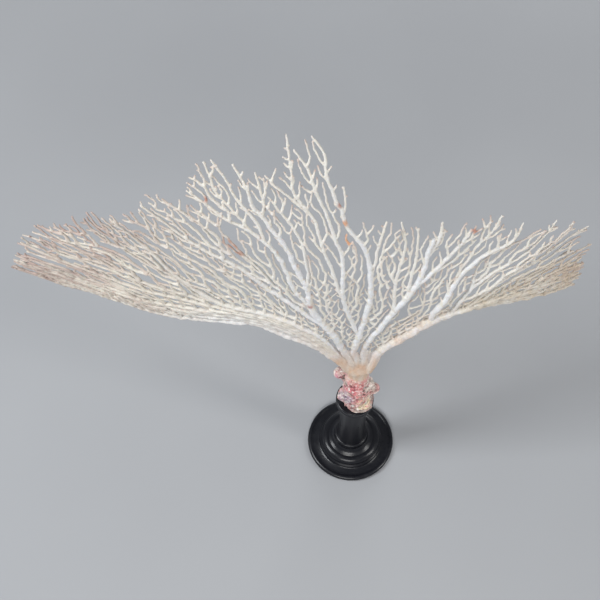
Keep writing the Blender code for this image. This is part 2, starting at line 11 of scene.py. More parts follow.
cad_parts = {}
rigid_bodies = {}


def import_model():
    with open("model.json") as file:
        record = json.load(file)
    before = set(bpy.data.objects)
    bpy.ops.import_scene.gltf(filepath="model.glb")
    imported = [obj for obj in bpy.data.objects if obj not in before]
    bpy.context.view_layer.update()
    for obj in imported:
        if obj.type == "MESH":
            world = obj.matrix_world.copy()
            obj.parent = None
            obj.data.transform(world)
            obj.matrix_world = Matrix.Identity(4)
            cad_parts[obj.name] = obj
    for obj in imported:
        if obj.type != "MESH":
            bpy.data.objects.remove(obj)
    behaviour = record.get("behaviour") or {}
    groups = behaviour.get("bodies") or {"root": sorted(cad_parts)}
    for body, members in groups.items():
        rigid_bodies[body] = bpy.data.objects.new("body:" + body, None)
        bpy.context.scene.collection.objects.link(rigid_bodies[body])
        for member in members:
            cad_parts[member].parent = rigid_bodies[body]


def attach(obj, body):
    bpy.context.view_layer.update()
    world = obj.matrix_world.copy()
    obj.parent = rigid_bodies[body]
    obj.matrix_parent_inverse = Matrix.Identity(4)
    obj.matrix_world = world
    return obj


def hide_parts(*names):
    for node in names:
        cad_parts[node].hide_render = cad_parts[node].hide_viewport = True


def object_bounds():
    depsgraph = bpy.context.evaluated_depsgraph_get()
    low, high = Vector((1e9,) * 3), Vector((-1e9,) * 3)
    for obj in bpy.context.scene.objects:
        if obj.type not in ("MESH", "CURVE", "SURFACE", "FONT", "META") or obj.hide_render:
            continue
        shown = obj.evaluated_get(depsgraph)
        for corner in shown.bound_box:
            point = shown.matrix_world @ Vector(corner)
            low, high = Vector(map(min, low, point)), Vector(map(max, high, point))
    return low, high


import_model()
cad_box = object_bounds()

MM = 0.001

# Camera, solved from the round rim of the foot
CAMERA_AT = (-0.05906, -0.47966, 1.33803)
CAMERA_TILT = 26.4
LENS = 72.0

# Fan sheet: a place on it is a bearing (0 right, 90 up, 180 left) and a distance from the root in mm
ROOT = np.array([0.0, 0.0, 198.0])
WING_SWEEP_LEFT = (0.342, 2.86)
WING_SWEEP_RIGHT = (0.613, 3.39)
UPRIGHT_LEAN = 0.02
CURL = 0.00055
BELLY = 0.12
BELLY_FADE = 120.0
WEB_END = 62.0

STEP = 1.5
SEED = 11
TWIG_RADIUS = 0.98
TIP_RADIUS = 0.84
TWIG_HALF_WIDTH = 0.9
# Width of the limbs that leave the right low arm, as a share of their solids'
RIGHT_SIDE_LIMBS = 0.8
# Unevenness of the skin in mm: small knobs, grit, and lumps of the fused low bands
KNOB_HEIGHT = 0.32
GRIT_HEIGHT = 0.22
BAND_LUMP_HEIGHT = 1.1
TUBE_SIDES = 8
VOXEL = 0.66
MOST_TRIANGLES = 185000
TRIANGLES_PER_MM = 26
LIMB_TONE = 0.35
BAND_TONE = 0.3

# Main limbs of each branch, as (bearing, distance, radius in mm)
LIMBS = {
    "branch_left_low": [
        [(119.6, 62, 3.3), (121.4, 80, 3.3), (124.3, 95, 3.4), (128.3, 108, 3.3), (131.3, 124, 3.1),
         (134, 141, 3.0), (140.5, 157, 2.8), (147.5, 171, 2.6), (153, 185, 2.4), (157.5, 203, 2.2),
         (161, 226, 2.1), (165, 252, 1.9), (169, 280, 1.7), (171.6, 308, 1.4), (173, 330, 1.2),
         (173.2, 353, 1.0)],
        [(117.2, 62, 3.0), (119, 82, 3.1), (121.5, 100, 3.0), (125.5, 116, 2.9), (128.8, 133, 2.8),
         (132.3, 150, 2.7), (138, 168, 2.5), (145, 188, 2.3), (150, 212, 2.1), (154.5, 242, 1.9),
         (158.5, 278, 1.6), (161.5, 315, 1.3), (162.8, 353, 1.0)],
        [(114.4, 62, 2.8), (116.2, 86, 2.8), (118.7, 105, 2.7), (122.8, 125, 2.6), (126.8, 143, 2.5),
         (131.6, 162, 2.4), (138, 182, 2.2), (143, 205, 2.1), (147, 235, 1.9), (150, 270, 1.6),
         (152, 310, 1.3), (152.5, 358, 1.0)],
        [(110.8, 62, 2.3), (112, 84, 2.5), (114.6, 104, 2.7), (118.9, 122, 2.8), (123.6, 140, 2.8),
         (128.3, 156, 2.8), (132.6, 172, 2.7), (135.7, 188, 2.6), (136.4, 206, 2.5), (136, 224, 2.3),
         (135.6, 245, 2.1), (134.7, 266, 1.8), (134, 288, 1.4), (133.5, 325, 1.0)],
    ],
    "branch_left_upper": [
        [(108.6, 121, 2.9), (111.2, 132, 2.8), (113.5, 146, 2.7), (115.2, 159, 2.6), (117.2, 174, 2.5),
         (118.6, 188, 2.4), (119.5, 204, 2.3), (120.3, 219, 2.1), (122, 235, 1.9), (124, 252, 1.6),
         (125.5, 275, 1.4), (126.5, 300, 1.2), (127.2, 322, 1.0)],
    ],
    "branch_left_main": [
        [(104.3, 62, 3.5), (105.2, 82, 3.8), (105.9, 100, 4.1), (107.4, 115, 3.9), (108.8, 130, 3.6),
         (109.2, 147, 3.3), (108.3, 163, 3.0), (107.3, 178, 2.8), (107.7, 192, 2.6), (107.9, 207, 2.5),
         (107.7, 222, 2.3), (108.2, 238, 2.2), (109.2, 254, 2.1), (109.8, 272, 1.9), (110.5, 286, 1.6),
         (110, 302, 1.3), (110.3, 328, 1.0)],
        [(109.2, 148, 2.4), (110.4, 160, 2.4), (111, 173, 2.3), (111, 188, 2.3), (110.7, 202, 2.2),
         (110.5, 216, 2.1), (110.8, 230, 2.0), (111.7, 243, 1.9), (113.1, 257, 1.7), (114.7, 269, 1.5),
         (116.2, 281, 1.3), (117.4, 298, 1.1), (119, 318, 0.9)],
        [(111.7, 243, 1.5), (111.3, 262, 1.5), (111.9, 281, 1.5), (112.5, 298, 1.3), (112.4, 313, 1.1),
         (113, 337, 0.9)],
        [(113.1, 257, 1.3), (113.7, 275, 1.3), (114.3, 290, 1.2), (115, 308, 1.1), (114.5, 323, 1.0),
         (114.2, 338, 0.9)],
        [(107.3, 178, 1.9), (105.4, 194, 1.8), (104.7, 212, 1.7), (104.3, 234, 1.5), (105.2, 255, 1.3),
         (106.4, 274, 1.1), (107.2, 290, 0.9)],
        [(109.7, 270, 1.3), (108.4, 284, 1.3), (108, 298, 1.2), (107.6, 316, 0.9)],
    ],
    "branch_centre_left": [
        [(91.3, 94, 2.4), (93.6, 107, 2.4), (95, 120, 2.3), (96, 132, 2.3), (96.9, 145, 2.2),
         (96.9, 165, 2.2), (96.5, 180, 2.1), (96.1, 197, 2.0), (95.9, 213, 1.9), (96.8, 230, 1.8),
         (97.4, 246, 1.6), (98.3, 268, 1.5), (99.3, 290, 1.4), (99.7, 308, 1.2), (101.2, 328, 0.9)],
        [(96.9, 158, 1.7), (98.2, 171, 1.7), (98.6, 188, 1.6), (99.2, 205, 1.6), (100, 222, 1.6),
         (100.2, 240, 1.5), (100.6, 258, 1.4), (102, 275, 1.3), (102.9, 290, 1.2), (102.4, 308, 1.1),
         (102.1, 325, 1.0), (101.8, 343, 0.9)],
        [(101.1, 263, 1.3), (103.6, 284, 1.2), (105.4, 300, 1.1), (106.4, 312, 0.9)],
    ],
    "branch_centre": [
        [(96.4, 62, 3.1), (94.0, 76, 3.5), (91.4, 94, 3.3), (89.6, 115, 2.9), (88.6, 136, 2.8),
         (88, 153, 2.7), (88.1, 167, 2.6), (88.6, 178, 2.5), (88.8, 191, 2.4), (89.6, 207, 2.3),
         (90.7, 221, 2.2), (92.3, 231, 2.1), (93.8, 242, 2.0), (94.7, 252, 1.9), (95.1, 264, 1.8),
         (96, 275, 1.7), (96.6, 288, 1.6), (97.1, 300, 1.5), (97, 312, 1.4), (97.1, 323, 1.2),
         (98.4, 337, 0.9)],
        [(88.7, 185, 1.6), (87.9, 199, 1.5), (87.7, 214, 1.5), (87.3, 228, 1.3), (86.6, 251, 0.9)],
        [(95, 258, 1.1), (94.4, 270, 1.0), (94.5, 288, 0.9)],
    ],
    "branch_right_main": [
        [(87.4, 62, 3.0), (86.4, 76, 3.1), (83.8, 93, 3.1), (80.9, 111, 3.1), (79.1, 128, 3.1),
         (77.8, 143, 3.2), (76.4, 158, 3.1), (75.5, 172, 3.0), (75, 187, 2.7), (75.2, 202, 2.5),
         (75.8, 217, 2.4), (76.1, 235, 2.2)],
        [(75.7, 213, 1.9), (75.1, 226, 1.8), (75, 240, 1.6), (75.7, 256, 1.2)],
        [(75.3, 176, 2.3), (73.7, 189, 2.2), (72.3, 202, 2.0), (71.2, 215, 1.8), (70.5, 228, 1.7),
         (69.9, 242, 1.6), (69.8, 257, 1.3)],
        [(73, 196, 1.6), (71, 205, 1.5), (69.3, 217, 1.4), (68.2, 232, 1.2), (67.6, 246, 0.9)],
        [(78.8, 132, 1.8), (79.2, 148, 1.7), (80.5, 164, 1.6), (81.2, 180, 1.6), (81.4, 198, 1.5),
         (81.3, 212, 1.4), (81.8, 230, 1.2), (83.6, 250, 0.9)],
        [(76.2, 161, 1.6), (76.9, 176, 1.6), (77.6, 190, 1.5), (77.9, 206, 1.4), (78.5, 220, 1.2),
         (80, 246, 0.9)],
    ],
    "branch_right_upper": [
        [(61.8, 136, 3.0), (63.6, 148, 2.9), (63.6, 162, 2.8), (64.1, 179, 2.5), (65, 193, 2.4),
         (64.8, 206, 2.2), (64.3, 219, 2.0), (63.4, 233, 1.8), (62.2, 244, 1.6), (60.9, 253, 1.4),
         (60.7, 264, 1.2), (61.6, 279, 0.9)],
        [(64.9, 190, 1.5), (66, 206, 1.4), (66, 222, 1.3), (66.4, 240, 1.2), (65.6, 258, 1.0),
         (65.8, 277, 0.9)],
    ],
    "branch_right_low": [
        [(74, 62, 4.8), (71, 80, 4.9), (65.9, 99, 5.0), (63.3, 115, 4.8), (61.7, 128, 4.6), (60, 140, 4.4),
         (57.5, 152, 4.0), (54.5, 162, 3.7), (51.8, 172, 3.3), (48.8, 184, 2.9), (45.5, 198, 2.5),
         (42.6, 212, 2.2), (40, 228, 1.8), (37.3, 250, 1.2)],
        [(55.5, 159, 2.6), (50.8, 168, 2.5), (47, 178, 2.3), (42.7, 190, 2.1), (38.5, 203, 1.9),
         (34.3, 218, 1.5), (31, 236, 1.0)],
        [(57.5, 152, 2.4), (58.6, 166, 2.4), (59, 182, 2.3), (58.8, 198, 2.2), (58, 213, 2.0),
         (57, 227, 1.8), (55.9, 242, 1.6), (55.6, 258, 1.4), (55.7, 276, 1.1), (56.3, 293, 0.9)],
        [(54.5, 162, 2.2), (54.3, 180, 2.1), (54, 200, 2.0), (53, 220, 1.8), (51.9, 240, 1.6),
         (51.2, 260, 1.4), (50.8, 280, 1.2), (50, 300, 0.9)],
        [(50.4, 177, 2.0), (49.7, 197, 1.9), (48.6, 215, 1.8), (47.4, 235, 1.6), (46.4, 255, 1.3),
         (44.8, 283, 0.9)],
    ],
}

# Reach of the fan in mm at each bearing
RIM = [
    (29, 225), (31, 236), (36, 250), (40, 262), (42.5, 268), (44.6, 281), (46, 264), (48.5, 288),
    (50, 299), (53, 299), (54.5, 286), (56.5, 292), (58.5, 274), (59.7, 262), (61.5, 279), (63, 262),
    (65.5, 277), (68, 276), (69.3, 262), (72.5, 262), (74, 246), (75.8, 256), (77, 236), (79, 249),
    (82, 244), (84, 250), (86.5, 252), (88, 245), (90, 253), (92, 249), (94.5, 262), (96, 300),
    (97.5, 336), (99, 339), (100.5, 330), (101.8, 343), (103.3, 326), (105.5, 327), (106.6, 312),
    (107.6, 318), (108.3, 330), (110.3, 328), (111.5, 310), (113, 337), (117.3, 337), (119, 320),
    (120.3, 304), (122, 318), (124.4, 330), (127, 324), (130, 326), (132, 322), (135.5, 340), (139, 345),
    (142.5, 351), (145.3, 361), (149, 355), (151.5, 365), (156, 355), (163, 354), (168, 356), (172, 359),
    (175, 350), (179, 336),
]

# Fine branches that leave the web between the limbs
ROOT_TWIGS = [("branch_centre", 100.6), ("branch_right_main", 81.4), ("branch_right_main", 84.0)]

# Free space in mm that the fine branches leave at each distance
SPACING = [(60, 3.2), (100, 3.5), (140, 4.2), (175, 5.0), (230, 5.7), (300, 5.5), (360, 5.2)]
# Open places in the fan: bearing, distance, half sizes in degrees and mm
HOLES = [
    (72.0, 139, 4.6, 17), (116.2, 257, 2.4, 20), (109.4, 308, 1.6, 21), (140.3, 244, 1.6, 13),
    (131.5, 298, 1.8, 13), (130.2, 251, 1.4, 7), (149.8, 311, 1.0, 10), (101.5, 320, 2.0, 20),
    (93.0, 290, 2.5, 30),
]

# Bearing at each distance where the dense low band of each side starts
LOW_LEFT = [(60, 112), (120, 118), (160, 128), (200, 145), (260, 160), (360, 170)]
LOW_RIGHT = [(60, 76), (120, 66), (150, 60), (170, 56), (200, 50), (260, 45), (360, 40)]


def between(table, x):
    """Value of a table at x, straight between its rows."""
    return float(np.interp(x, [row[0] for row in table], [row[1] for row in table]))


def sheet_points(bearings, distances):
    """Places in mm on the fan's curved sheet."""
    bearings = np.asarray(bearings, float)
    distances = np.asarray(distances, float)
    angle = np.radians(bearings)
    turn = (bearings - 90) / 90
    left = np.clip(turn, 0, None)
    right = np.clip(-turn, 0, None)
    sweep = UPRIGHT_LEAN + WING_SWEEP_LEFT[0] * left ** WING_SWEEP_LEFT[1]
    sweep = sweep + WING_SWEEP_RIGHT[0] * right ** WING_SWEEP_RIGHT[1]
    lift = np.clip(np.sin(angle), 0, 1)
    back = distances * sweep + CURL * distances**2 * lift**2
    back = back - BELLY * distances * np.exp(-distances / BELLY_FADE)
    return ROOT + np.stack([distances * np.cos(angle), back, distances * np.sin(angle)], -1)


def limb_bearing(limb, distance):
    """Bearing of a limb at a distance, on a smooth curve through its points."""
    count = len(limb)
    if distance <= limb[0][1]:
        return limb[0][0]
    if distance >= limb[-1][1]:
        return limb[-1][0]
    i = max(k for k in range(count - 1) if limb[k][1] <= distance)

    def slope(k):
        low = limb[max(k - 1, 0)]
        high = limb[min(k + 1, count - 1)]
        return (high[0] - low[0]) / (high[1] - low[1])

    span = limb[i + 1][1] - limb[i][1]
    t = (distance - limb[i][1]) / span
    return ((2 * t**3 - 3 * t**2 + 1) * limb[i][0] + (t**3 - 2 * t**2 + t) * slope(i) * span
            + (3 * t**2 - 2 * t**3) * limb[i + 1][0] + (t**3 - t**2) * slope(i + 1) * span)


# Growth of the fine branches

class Strand:
    """One unbranched run of the fan."""

    def __init__(self, group, bearing, distance, parent=None, slope=0.0, limb=None, life=None, bridge=0):
        self.group = group
        self.parent = parent
        self.slope = slope
        self.drift = 0.0
        self.limb = limb
        self.profile = [(d, r) for _, d, r in limb] if limb else None
        self.life = life
        self.bridge = bridge
        self.bearing = bearing
        self.points = [(bearing, distance)]
        self.last_fork = {-1: distance, 1: distance}
        self.children = []
        self.joined = None
        self.reach = random.uniform(-0.035, 0.006)
        self.hook = random.choice((-1, 1)) * random.uniform(0.5, 1.3) if random.random() < 0.4 else 0
        self.seed = random.uniform(0, 100)
        self.layer = random.gauss(0, 1.3)
        self.tone = random.random() if not limb else LIMB_TONE
        if parent:
            parent.children.append(self)

    def half_width(self, distance):
        return between(self.profile, distance) if self.limb else TWIG_HALF_WIDTH


def spacing(bearing, distance):
    """Free space in mm that strands keep: less in the low bands, more in the middle and in the holes."""
    base = between(SPACING, distance)
    if bearing > between(LOW_LEFT, distance) or bearing < between(LOW_RIGHT, distance):
        base *= 0.6
    elif 84 < bearing < 113 and distance > 190:
        base *= 1.25
    for place, reach, half_angle, half_reach in HOLES:
        if ((bearing - place) / half_angle) ** 2 + ((distance - reach) / half_reach) ** 2 < 1.3:
            base *= 2.6
    return base


def gap(low, high, distance):
    """Free space in mm between two neighbours."""
    centres = math.radians(high.bearing - low.bearing) * distance
    return centres - low.half_width(distance) - high.half_width(distance)


# Sideways slope of a strand: the most it may have, and that of a bridge to a neighbour
MOST_SLOPE = 0.95
BRIDGE_SLOPE = 1.15
# Within so many mm of the rim the tips hook, and no new branch starts but short end spurs
HOOK_ZONE = 10
RIM_ZONE = 9
# Strands nearer than this in mm meet: those of one branch, and those of two
MEET_SAME = 0.4
MEET_OTHER = 1.6
GROWTH_END = 370


def steer(front, distance):
    """Moves each strand one step out. Side branches keep to the middle of their space and wander."""
    for i, s in enumerate(front):
        if s.limb:
            s.next_bearing = limb_bearing(s.limb, distance)
            continue
        wish = spacing(s.bearing, distance)
        ahead = gap(s, front[i + 1], distance) if i + 1 < len(front) else 12.0
        behind = gap(front[i - 1], s, distance) if i else 12.0
        push = 0.0
        if min(ahead, behind) < 1.6 * wish:
            push = (min(ahead, 1.8 * wish) - min(behind, 1.8 * wish)) / wish
        s.drift = 0.84 * (s.drift + random.gauss(0, 0.2))
        target = 0.36 * push + s.drift
        if s.hook and between(RIM, s.bearing) - distance < HOOK_ZONE:
            target += s.hook
        s.slope += 0.25 * (target - s.slope)
        s.slope = max(-MOST_SLOPE, min(MOST_SLOPE, s.slope))
        if s.bridge:
            s.slope = s.bridge * BRIDGE_SLOPE
        s.next_bearing = s.bearing + math.degrees(s.slope * STEP / distance)
    for s in front:
        s.bearing = s.next_bearing
        s.points.append((s.bearing, distance))
        if s.life is not None:
            s.life -= STEP * math.hypot(1, s.slope)


def at_end(s, distance):
    """Whether a strand has reached the rim, its limb's last point or the end of its life."""
    if s.limb:
        return distance >= s.limb[-1][1]
    return distance > between(RIM, s.bearing) * (1 + s.reach) or (s.life is not None and s.life < 0)


def end_crowded(front, distance):
    """Where two strands meet, the younger one grows into the other or ends beside it."""
    ended = set()
    for low, high in zip(front, front[1:]):
        if low in ended or high in ended or (low.limb and high.limb):
            continue
        related = low.parent is high or high.parent is low or (low.parent and low.parent is high.parent)
        if related and min(len(low.points), len(high.points)) * STEP < 9:
            continue
        same = low.group == high.group
        if gap(low, high, distance) >= (MEET_SAME if same else MEET_OTHER):
            continue
        loser = high if low.limb or (not high.limb and len(high.points) < len(low.points)) else low
        other = low if loser is high else high
        fuse = 1.0 if loser.bridge else 0.8 if distance < 150 else 0.35
        if same and random.random() < fuse:
            loser.joined = other
            loser.points.append((other.bearing, distance + STEP * 0.6))
        ended.add(loser)
    return ended


def new_forks(front, distance):
    """Forks, short blind spurs and cross bridges that start at this distance."""
    born = []
    for low, high in zip(front, front[1:]):
        wish = spacing(low.bearing, distance)
        free = gap(low, high, distance)
        sides = [(s, side) for s, side in ((low, 1), (high, -1)) if s.life is None and not s.bridge]
        left = between(RIM, (low.bearing + high.bearing) / 2) - distance
        if left < RIM_ZONE:
            if sides and free > 2.5 and random.random() < 0.12:
                s, side = random.choice(sides)
                if distance - s.last_fork[side] > 5:
                    born.append((s, side, 0.8, random.uniform(5, 10), 0))
            continue
        if free > wish * 0.92 * (1 + 0.35 * random.random()):
            sides = [(s, side) for s, side in sides
                     if distance - s.last_fork[side] > 6.5 and between(RIM, s.bearing) > distance + 6]
            if sides:
                s, side = random.choices(sides, [1.8 if s.limb else 1.0 for s, _ in sides])[0]
                born.append((s, side, 0.85, None, 0))
            continue
        if not sides:
            continue
        s, side = random.choice(sides)
        chance = random.random()
        if free > 0.5 * wish and chance < 0.035 and distance - s.last_fork[side] > 6:
            born.append((s, side, 0.85, random.uniform(3, 9), 0))
        elif distance < 175 and low.group == high.group and 2.0 < free < wish * 1.3 and chance > 0.96:
            if distance - s.last_fork[side] > 4:
                born.append((s, side, 1.0, None, side))
    for i, s in enumerate(front):
        if not s.limb or not 6 < s.limb[-1][1] - distance < 75:
            continue
        for side in (-1, 1):
            beside = front[i + side] if 0 <= i + side < len(front) else None
            free = gap(*sorted((s, beside), key=lambda item: item.bearing), distance) if beside else 20
            if free > 4.5 and distance - s.last_fork[side] > 8 and random.random() < 0.16:
                born.append((s, side, 0.75, random.uniform(7, 18), 0))
    return born


def grow():
    """Grows the fan outwards from the web, all strands side by side."""
    random.seed(SEED)
    waiting = sorted(((limb[0][1], group, limb) for group, limbs in LIMBS.items() for limb in limbs),
                     key=lambda item: item[0])
    strands = [Strand(group, bearing, WEB_END) for group, bearing in ROOT_TWIGS]
    front = list(strands)
    distance = WEB_END
    while distance < GROWTH_END:
        while waiting and waiting[0][0] <= distance:
            _, group, limb = waiting.pop(0)
            parent = None
            bearing = limb[0][0]
            if limb[0][1] > WEB_END:
                parent = min((s for s in front if s.limb), key=lambda s: abs(s.bearing - bearing))
                bearing = parent.bearing
            strands.append(Strand(group, bearing, distance, parent, limb=limb))
            front.append(strands[-1])
        distance += STEP
        front.sort(key=lambda s: s.bearing)
        steer(front, distance)
        front = sorted((s for s in front if not at_end(s, distance)), key=lambda s: s.bearing)
        crowded = end_crowded(front, distance)
        front = [s for s in front if s not in crowded]
        for s, side, slope, life, bridge in new_forks(front, distance):
            s.last_fork[side] = distance
            child = Strand(s.group, s.bearing, distance, s, side * slope, life=life, bridge=bridge)
            if not s.limb:
                s.slope -= side * 0.4
            child.bearing += side * math.degrees(0.3 / distance)
            strands.append(child)
            front.append(child)
    for s in reversed(strands):
        s.tips = 1 + sum(c.tips for c in s.children if not c.limb)
    for s in strands:
        s.root_radius = min(1.7, TWIG_RADIUS * s.tips**0.26)
    return strands


# From strands to places in space

# Limbs that have fused side by side: branch, the two limbs, start and end distance
FUSED_BANDS = [
    ("branch_left_low", 0, 1, 62, 215), ("branch_left_low", 1, 2, 62, 190), ("branch_left_low", 2, 3, 62, 150),
    ("branch_right_low", 0, 1, 160, 225), ("branch_right_low", 0, 4, 178, 215),
]
BAND_STRANDS = 7


def band_tubes(group):
    """Thin strands that have fused two neighbouring limbs into a ribbed band."""
    tubes = []
    for name, first, second, start, end in FUSED_BANDS:
        if name != group:
            continue
        low, high = LIMBS[group][first], LIMBS[group][second]
        for i in range(BAND_STRANDS):
            place = (i + 1) / (BAND_STRANDS + 1)
            stop = end - random.uniform(0, 45)
            distances = np.arange(start, stop, STEP)
            seed = random.uniform(0, 100)
            bearings = np.array([limb_bearing(low, d) * (1 - place) + limb_bearing(high, d) * place
                                 for d in distances])
            bearings += np.degrees([0.9 * noise.noise((d * 0.08, seed, 0.0)) / d for d in distances])
            points = sheet_points(bearings, distances)
            points[:, 1] -= 0.6 + 0.7 * math.sin(seed)
            radii = np.array([1.15 + 0.35 * noise.noise((d * 0.2, seed, 5.0)) for d in distances])
            tubes.append((points, radii))
    return tubes


def layer_at(s, distance):
    """Offset in mm from the sheet, continuous from a strand to the ones that leave it."""
    start = s.points[0][1]
    first = layer_at(s.parent, start) if s.parent else 0.0
    share = 1 - math.exp(-max(0.0, distance - start) / 22)
    aim = s.layer * (0.4 if s.limb else 1.0) * min(1.0, start / 140)
    return first + (aim - first * 0.35) * share * (1.0 if s.parent else 0.3)


def bend_at(s, distance):
    """Sideways bend in mm, continuous from a strand to the ones that leave it."""
    wide, tight = (0.75, 0.9) if s.limb else (1.2, 0.95)
    bend = wide * noise.noise((distance * 0.1, s.seed, 0.0))
    bend += tight * noise.noise((distance * 0.23, s.seed, 7.0))
    if s.limb:
        bend *= min(1.0, s.half_width(distance) / 2)
    start = s.points[0][1]
    share = min(1.0, max(0.0, distance - start) / 5)
    first = bend_at(s.parent, start) if s.parent else 0.0
    return first * (1 - share) + bend * share


def strand_path(s):
    """Points (mm) and radii along a strand, with its small kinks and knobs."""
    distances = np.array([d for _, d in s.points])
    bearings = np.array([b for b, _ in s.points])
    steps = np.arange(len(distances)) * STEP
    bend = np.array([bend_at(s, d) for d in distances])
    layer = np.array([layer_at(s, d) for d in distances])
    if s.joined:
        close = np.clip((steps - steps[-1] + 6) / 6, 0, 1)
        bend += close * (bend_at(s.joined, distances[-1]) - bend[-1])
        layer += close * (layer_at(s.joined, distances[-1]) - layer[-1])
    points = sheet_points(bearings + np.degrees(bend / distances), distances)
    points[:, 1] += layer
    wave = [noise.noise((p[0] * 0.016, p[2] * 0.016, 3.1)) for p in points]
    points[:, 1] += 3.0 * np.array(wave) * np.clip((distances - 70) / 70, 0, 1)
    if s.limb:
        radii = np.array([between(s.profile, d) for d in distances])
        if s.parent and s.group == "branch_right_low":
            radii *= RIGHT_SIDE_LIMBS
    else:
        share = np.linspace(0, 1, len(distances))
        radii = s.root_radius + (TIP_RADIUS - s.root_radius) * share
        radii *= np.interp(distances, (60, 110, 200), (0.74, 0.82, 1.0))
        if len(radii) > 5:
            radii[:3] *= (1.4, 1.25, 1.1)
    knob = np.array([noise.noise((d * 0.2, s.seed, 20.0)) + 0.6 * noise.noise((d * 0.55, s.seed, 40.0))
                     for d in distances])
    return points, radii * (1 + (0.23 if s.limb else 0.14) * knob)


def tube(points, radii, sides=TUBE_SIDES):
    """Vertices and faces of a closed tube with a rounded tip."""
    points = np.asarray(points, float)
    radii = np.asarray(radii, float)
    if len(points) < 2:
        return None
    last = points[-1] - points[-2]
    last = last / np.linalg.norm(last)
    points = np.vstack([points, points[-1] + last * radii[-1] * 0.6])
    radii = np.append(radii, radii[-1] * 0.55)
    along = np.gradient(points, axis=0)
    along /= np.linalg.norm(along, axis=1)[:, None]
    across = np.cross(along, (0.0, -1.0, 0.0))
    across /= np.linalg.norm(across, axis=1)[:, None]
    out = np.cross(across, along)
    angle = 2 * np.pi * np.arange(sides) / sides
    round_out = np.cos(angle)[None, :, None] * out[:, None, :]
    round_across = np.sin(angle)[None, :, None] * across[:, None, :]
    verts = points[:, None, :] + radii[:, None, None] * (round_out + round_across)
    count = len(points)
    faces = []
    for i in range(count - 1):
        for k in range(sides):
            n = (k + 1) % sides
            faces.append((i * sides + k, i * sides + n, (i + 1) * sides + n, (i + 1) * sides + k))
    faces.append(tuple(range(sides))[::-1])
    faces.append(tuple((count - 1) * sides + k for k in range(sides)))
    return verts.reshape(-1, 3), faces


def mesh_object(name, parts):
    """One object from several (vertices in mm, faces) parts."""
    verts, faces, offset = [], [], 0
    for part in parts:
        if part is None:
            continue
        verts.append(part[0])
        faces.extend(tuple(i + offset for i in face) for face in part[1])
        offset += len(part[0])
    mesh = bpy.data.meshes.new(name)
    mesh.from_pydata((np.vstack(verts) * MM).tolist(), [], faces)
    mesh.update()
    obj = bpy.data.objects.new(name, mesh)
    bpy.context.scene.collection.objects.link(obj)
    return obj


def apply_modifiers(obj):
    result = bpy.data.meshes.new_from_object(obj.evaluated_get(bpy.context.evaluated_depsgraph_get()))
    obj.modifiers.clear()
    old = obj.data
    obj.data = result
    bpy.data.meshes.remove(old)
    result.name = obj.name


def edge_ends(obj):
    ends = np.zeros(len(obj.data.edges) * 2, np.int32)
    obj.data.edges.foreach_get("vertices", ends)
    return ends.reshape(-1, 2)


def drop_specks(obj, least=100):
    """Removes loose bits of fewer vertices than the least, which the melt can leave."""
    first, second = edge_ends(obj).T
    part = np.arange(len(obj.data.vertices))
    while True:
        lowest = np.minimum(part[first], part[second])
        joined = part.copy()
        np.minimum.at(joined, first, lowest)
        np.minimum.at(joined, second, lowest)
        joined = joined[joined]
        if np.array_equal(joined, part):
            break
        part = joined
    specks = np.flatnonzero(np.bincount(part, minlength=len(part))[part] < least)
    if not len(specks):
        return
    work = bmesh.new()
    work.from_mesh(obj.data)
    work.verts.ensure_lookup_table()
    bmesh.ops.delete(work, geom=[work.verts[i] for i in specks], context="VERTS")
    work.to_mesh(obj.data)
    work.free()


def fused(obj, voxel, triangles, smooth=2, swell=0.0):
    """Melts the object's overlapping parts into one skin of about so many triangles."""
    remesh = obj.modifiers.new("melt", "REMESH")
    remesh.mode = "VOXEL"
    remesh.voxel_size = voxel * MM
    soften = obj.modifiers.new("soften", "SMOOTH")
    soften.factor = 0.5
    soften.iterations = smooth
    grow_out = obj.modifiers.new("swell", "DISPLACE")
    grow_out.mid_level = 0.0
    grow_out.strength = swell * MM
    apply_modifiers(obj)
    drop_specks(obj)
    count = 2 * len(obj.data.polygons)
    if count > triangles:
        thin = obj.modifiers.new("thin", "DECIMATE")
        thin.ratio = triangles / count
        apply_modifiers(obj)
    obj.data.polygons.foreach_set("use_smooth", [True] * len(obj.data.polygons))


def vertex_places(obj):
    places = np.zeros(len(obj.data.vertices) * 3, np.float32)
    obj.data.vertices.foreach_get("co", places)
    return places.reshape(-1, 3) / MM


def set_places(obj, places):
    obj.data.vertices.foreach_set("co", (places * MM).astype(np.float32).ravel())
    obj.data.update()


def vertex_normals(obj):
    normals = np.zeros(len(obj.data.vertices) * 3, np.float32)
    obj.data.vertices.foreach_get("normal", normals)
    return normals.reshape(-1, 3)


def paint(obj, colours):
    """Stores one colour per vertex, as the tint that the material starts from."""
    layer = obj.data.color_attributes.new("tint", "FLOAT_COLOR", "POINT")
    rgba = np.ones((len(colours), 4), np.float32)
    rgba[:, :3] = colours
    layer.data.foreach_set("color", rgba.ravel())


def hollows(obj, rounds=6):
    """How far in mm each vertex lies below the skin around it."""
    places = vertex_places(obj)
    ends = edge_ends(obj)
    links = np.bincount(ends.ravel(), minlength=len(places))
    level = places
    for _ in range(rounds):
        around = np.stack([np.bincount(ends[:, 0], level[ends[:, 1], k], len(places))
                           + np.bincount(ends[:, 1], level[ends[:, 0], k], len(places)) for k in range(3)], 1)
        level = 0.5 * level + 0.5 * around / np.maximum(links, 1)[:, None]
    return np.einsum("ij,ij->i", level - places, vertex_normals(obj))


def polar(places):
    """Distance from the root in mm and bearing in degrees, both seen from the front."""
    relative = places - ROOT
    distance = np.linalg.norm(relative[:, [0, 2]], axis=1)
    return distance, np.degrees(np.arctan2(relative[:, 2], relative[:, 0]))


def cloud(places, scale, shift=(0, 0, 0)):
    """Smooth noise at each place, from about -1 to 1."""
    shift = Vector(shift)
    return np.array([noise.noise(Vector(p) * scale + shift) for p in places])


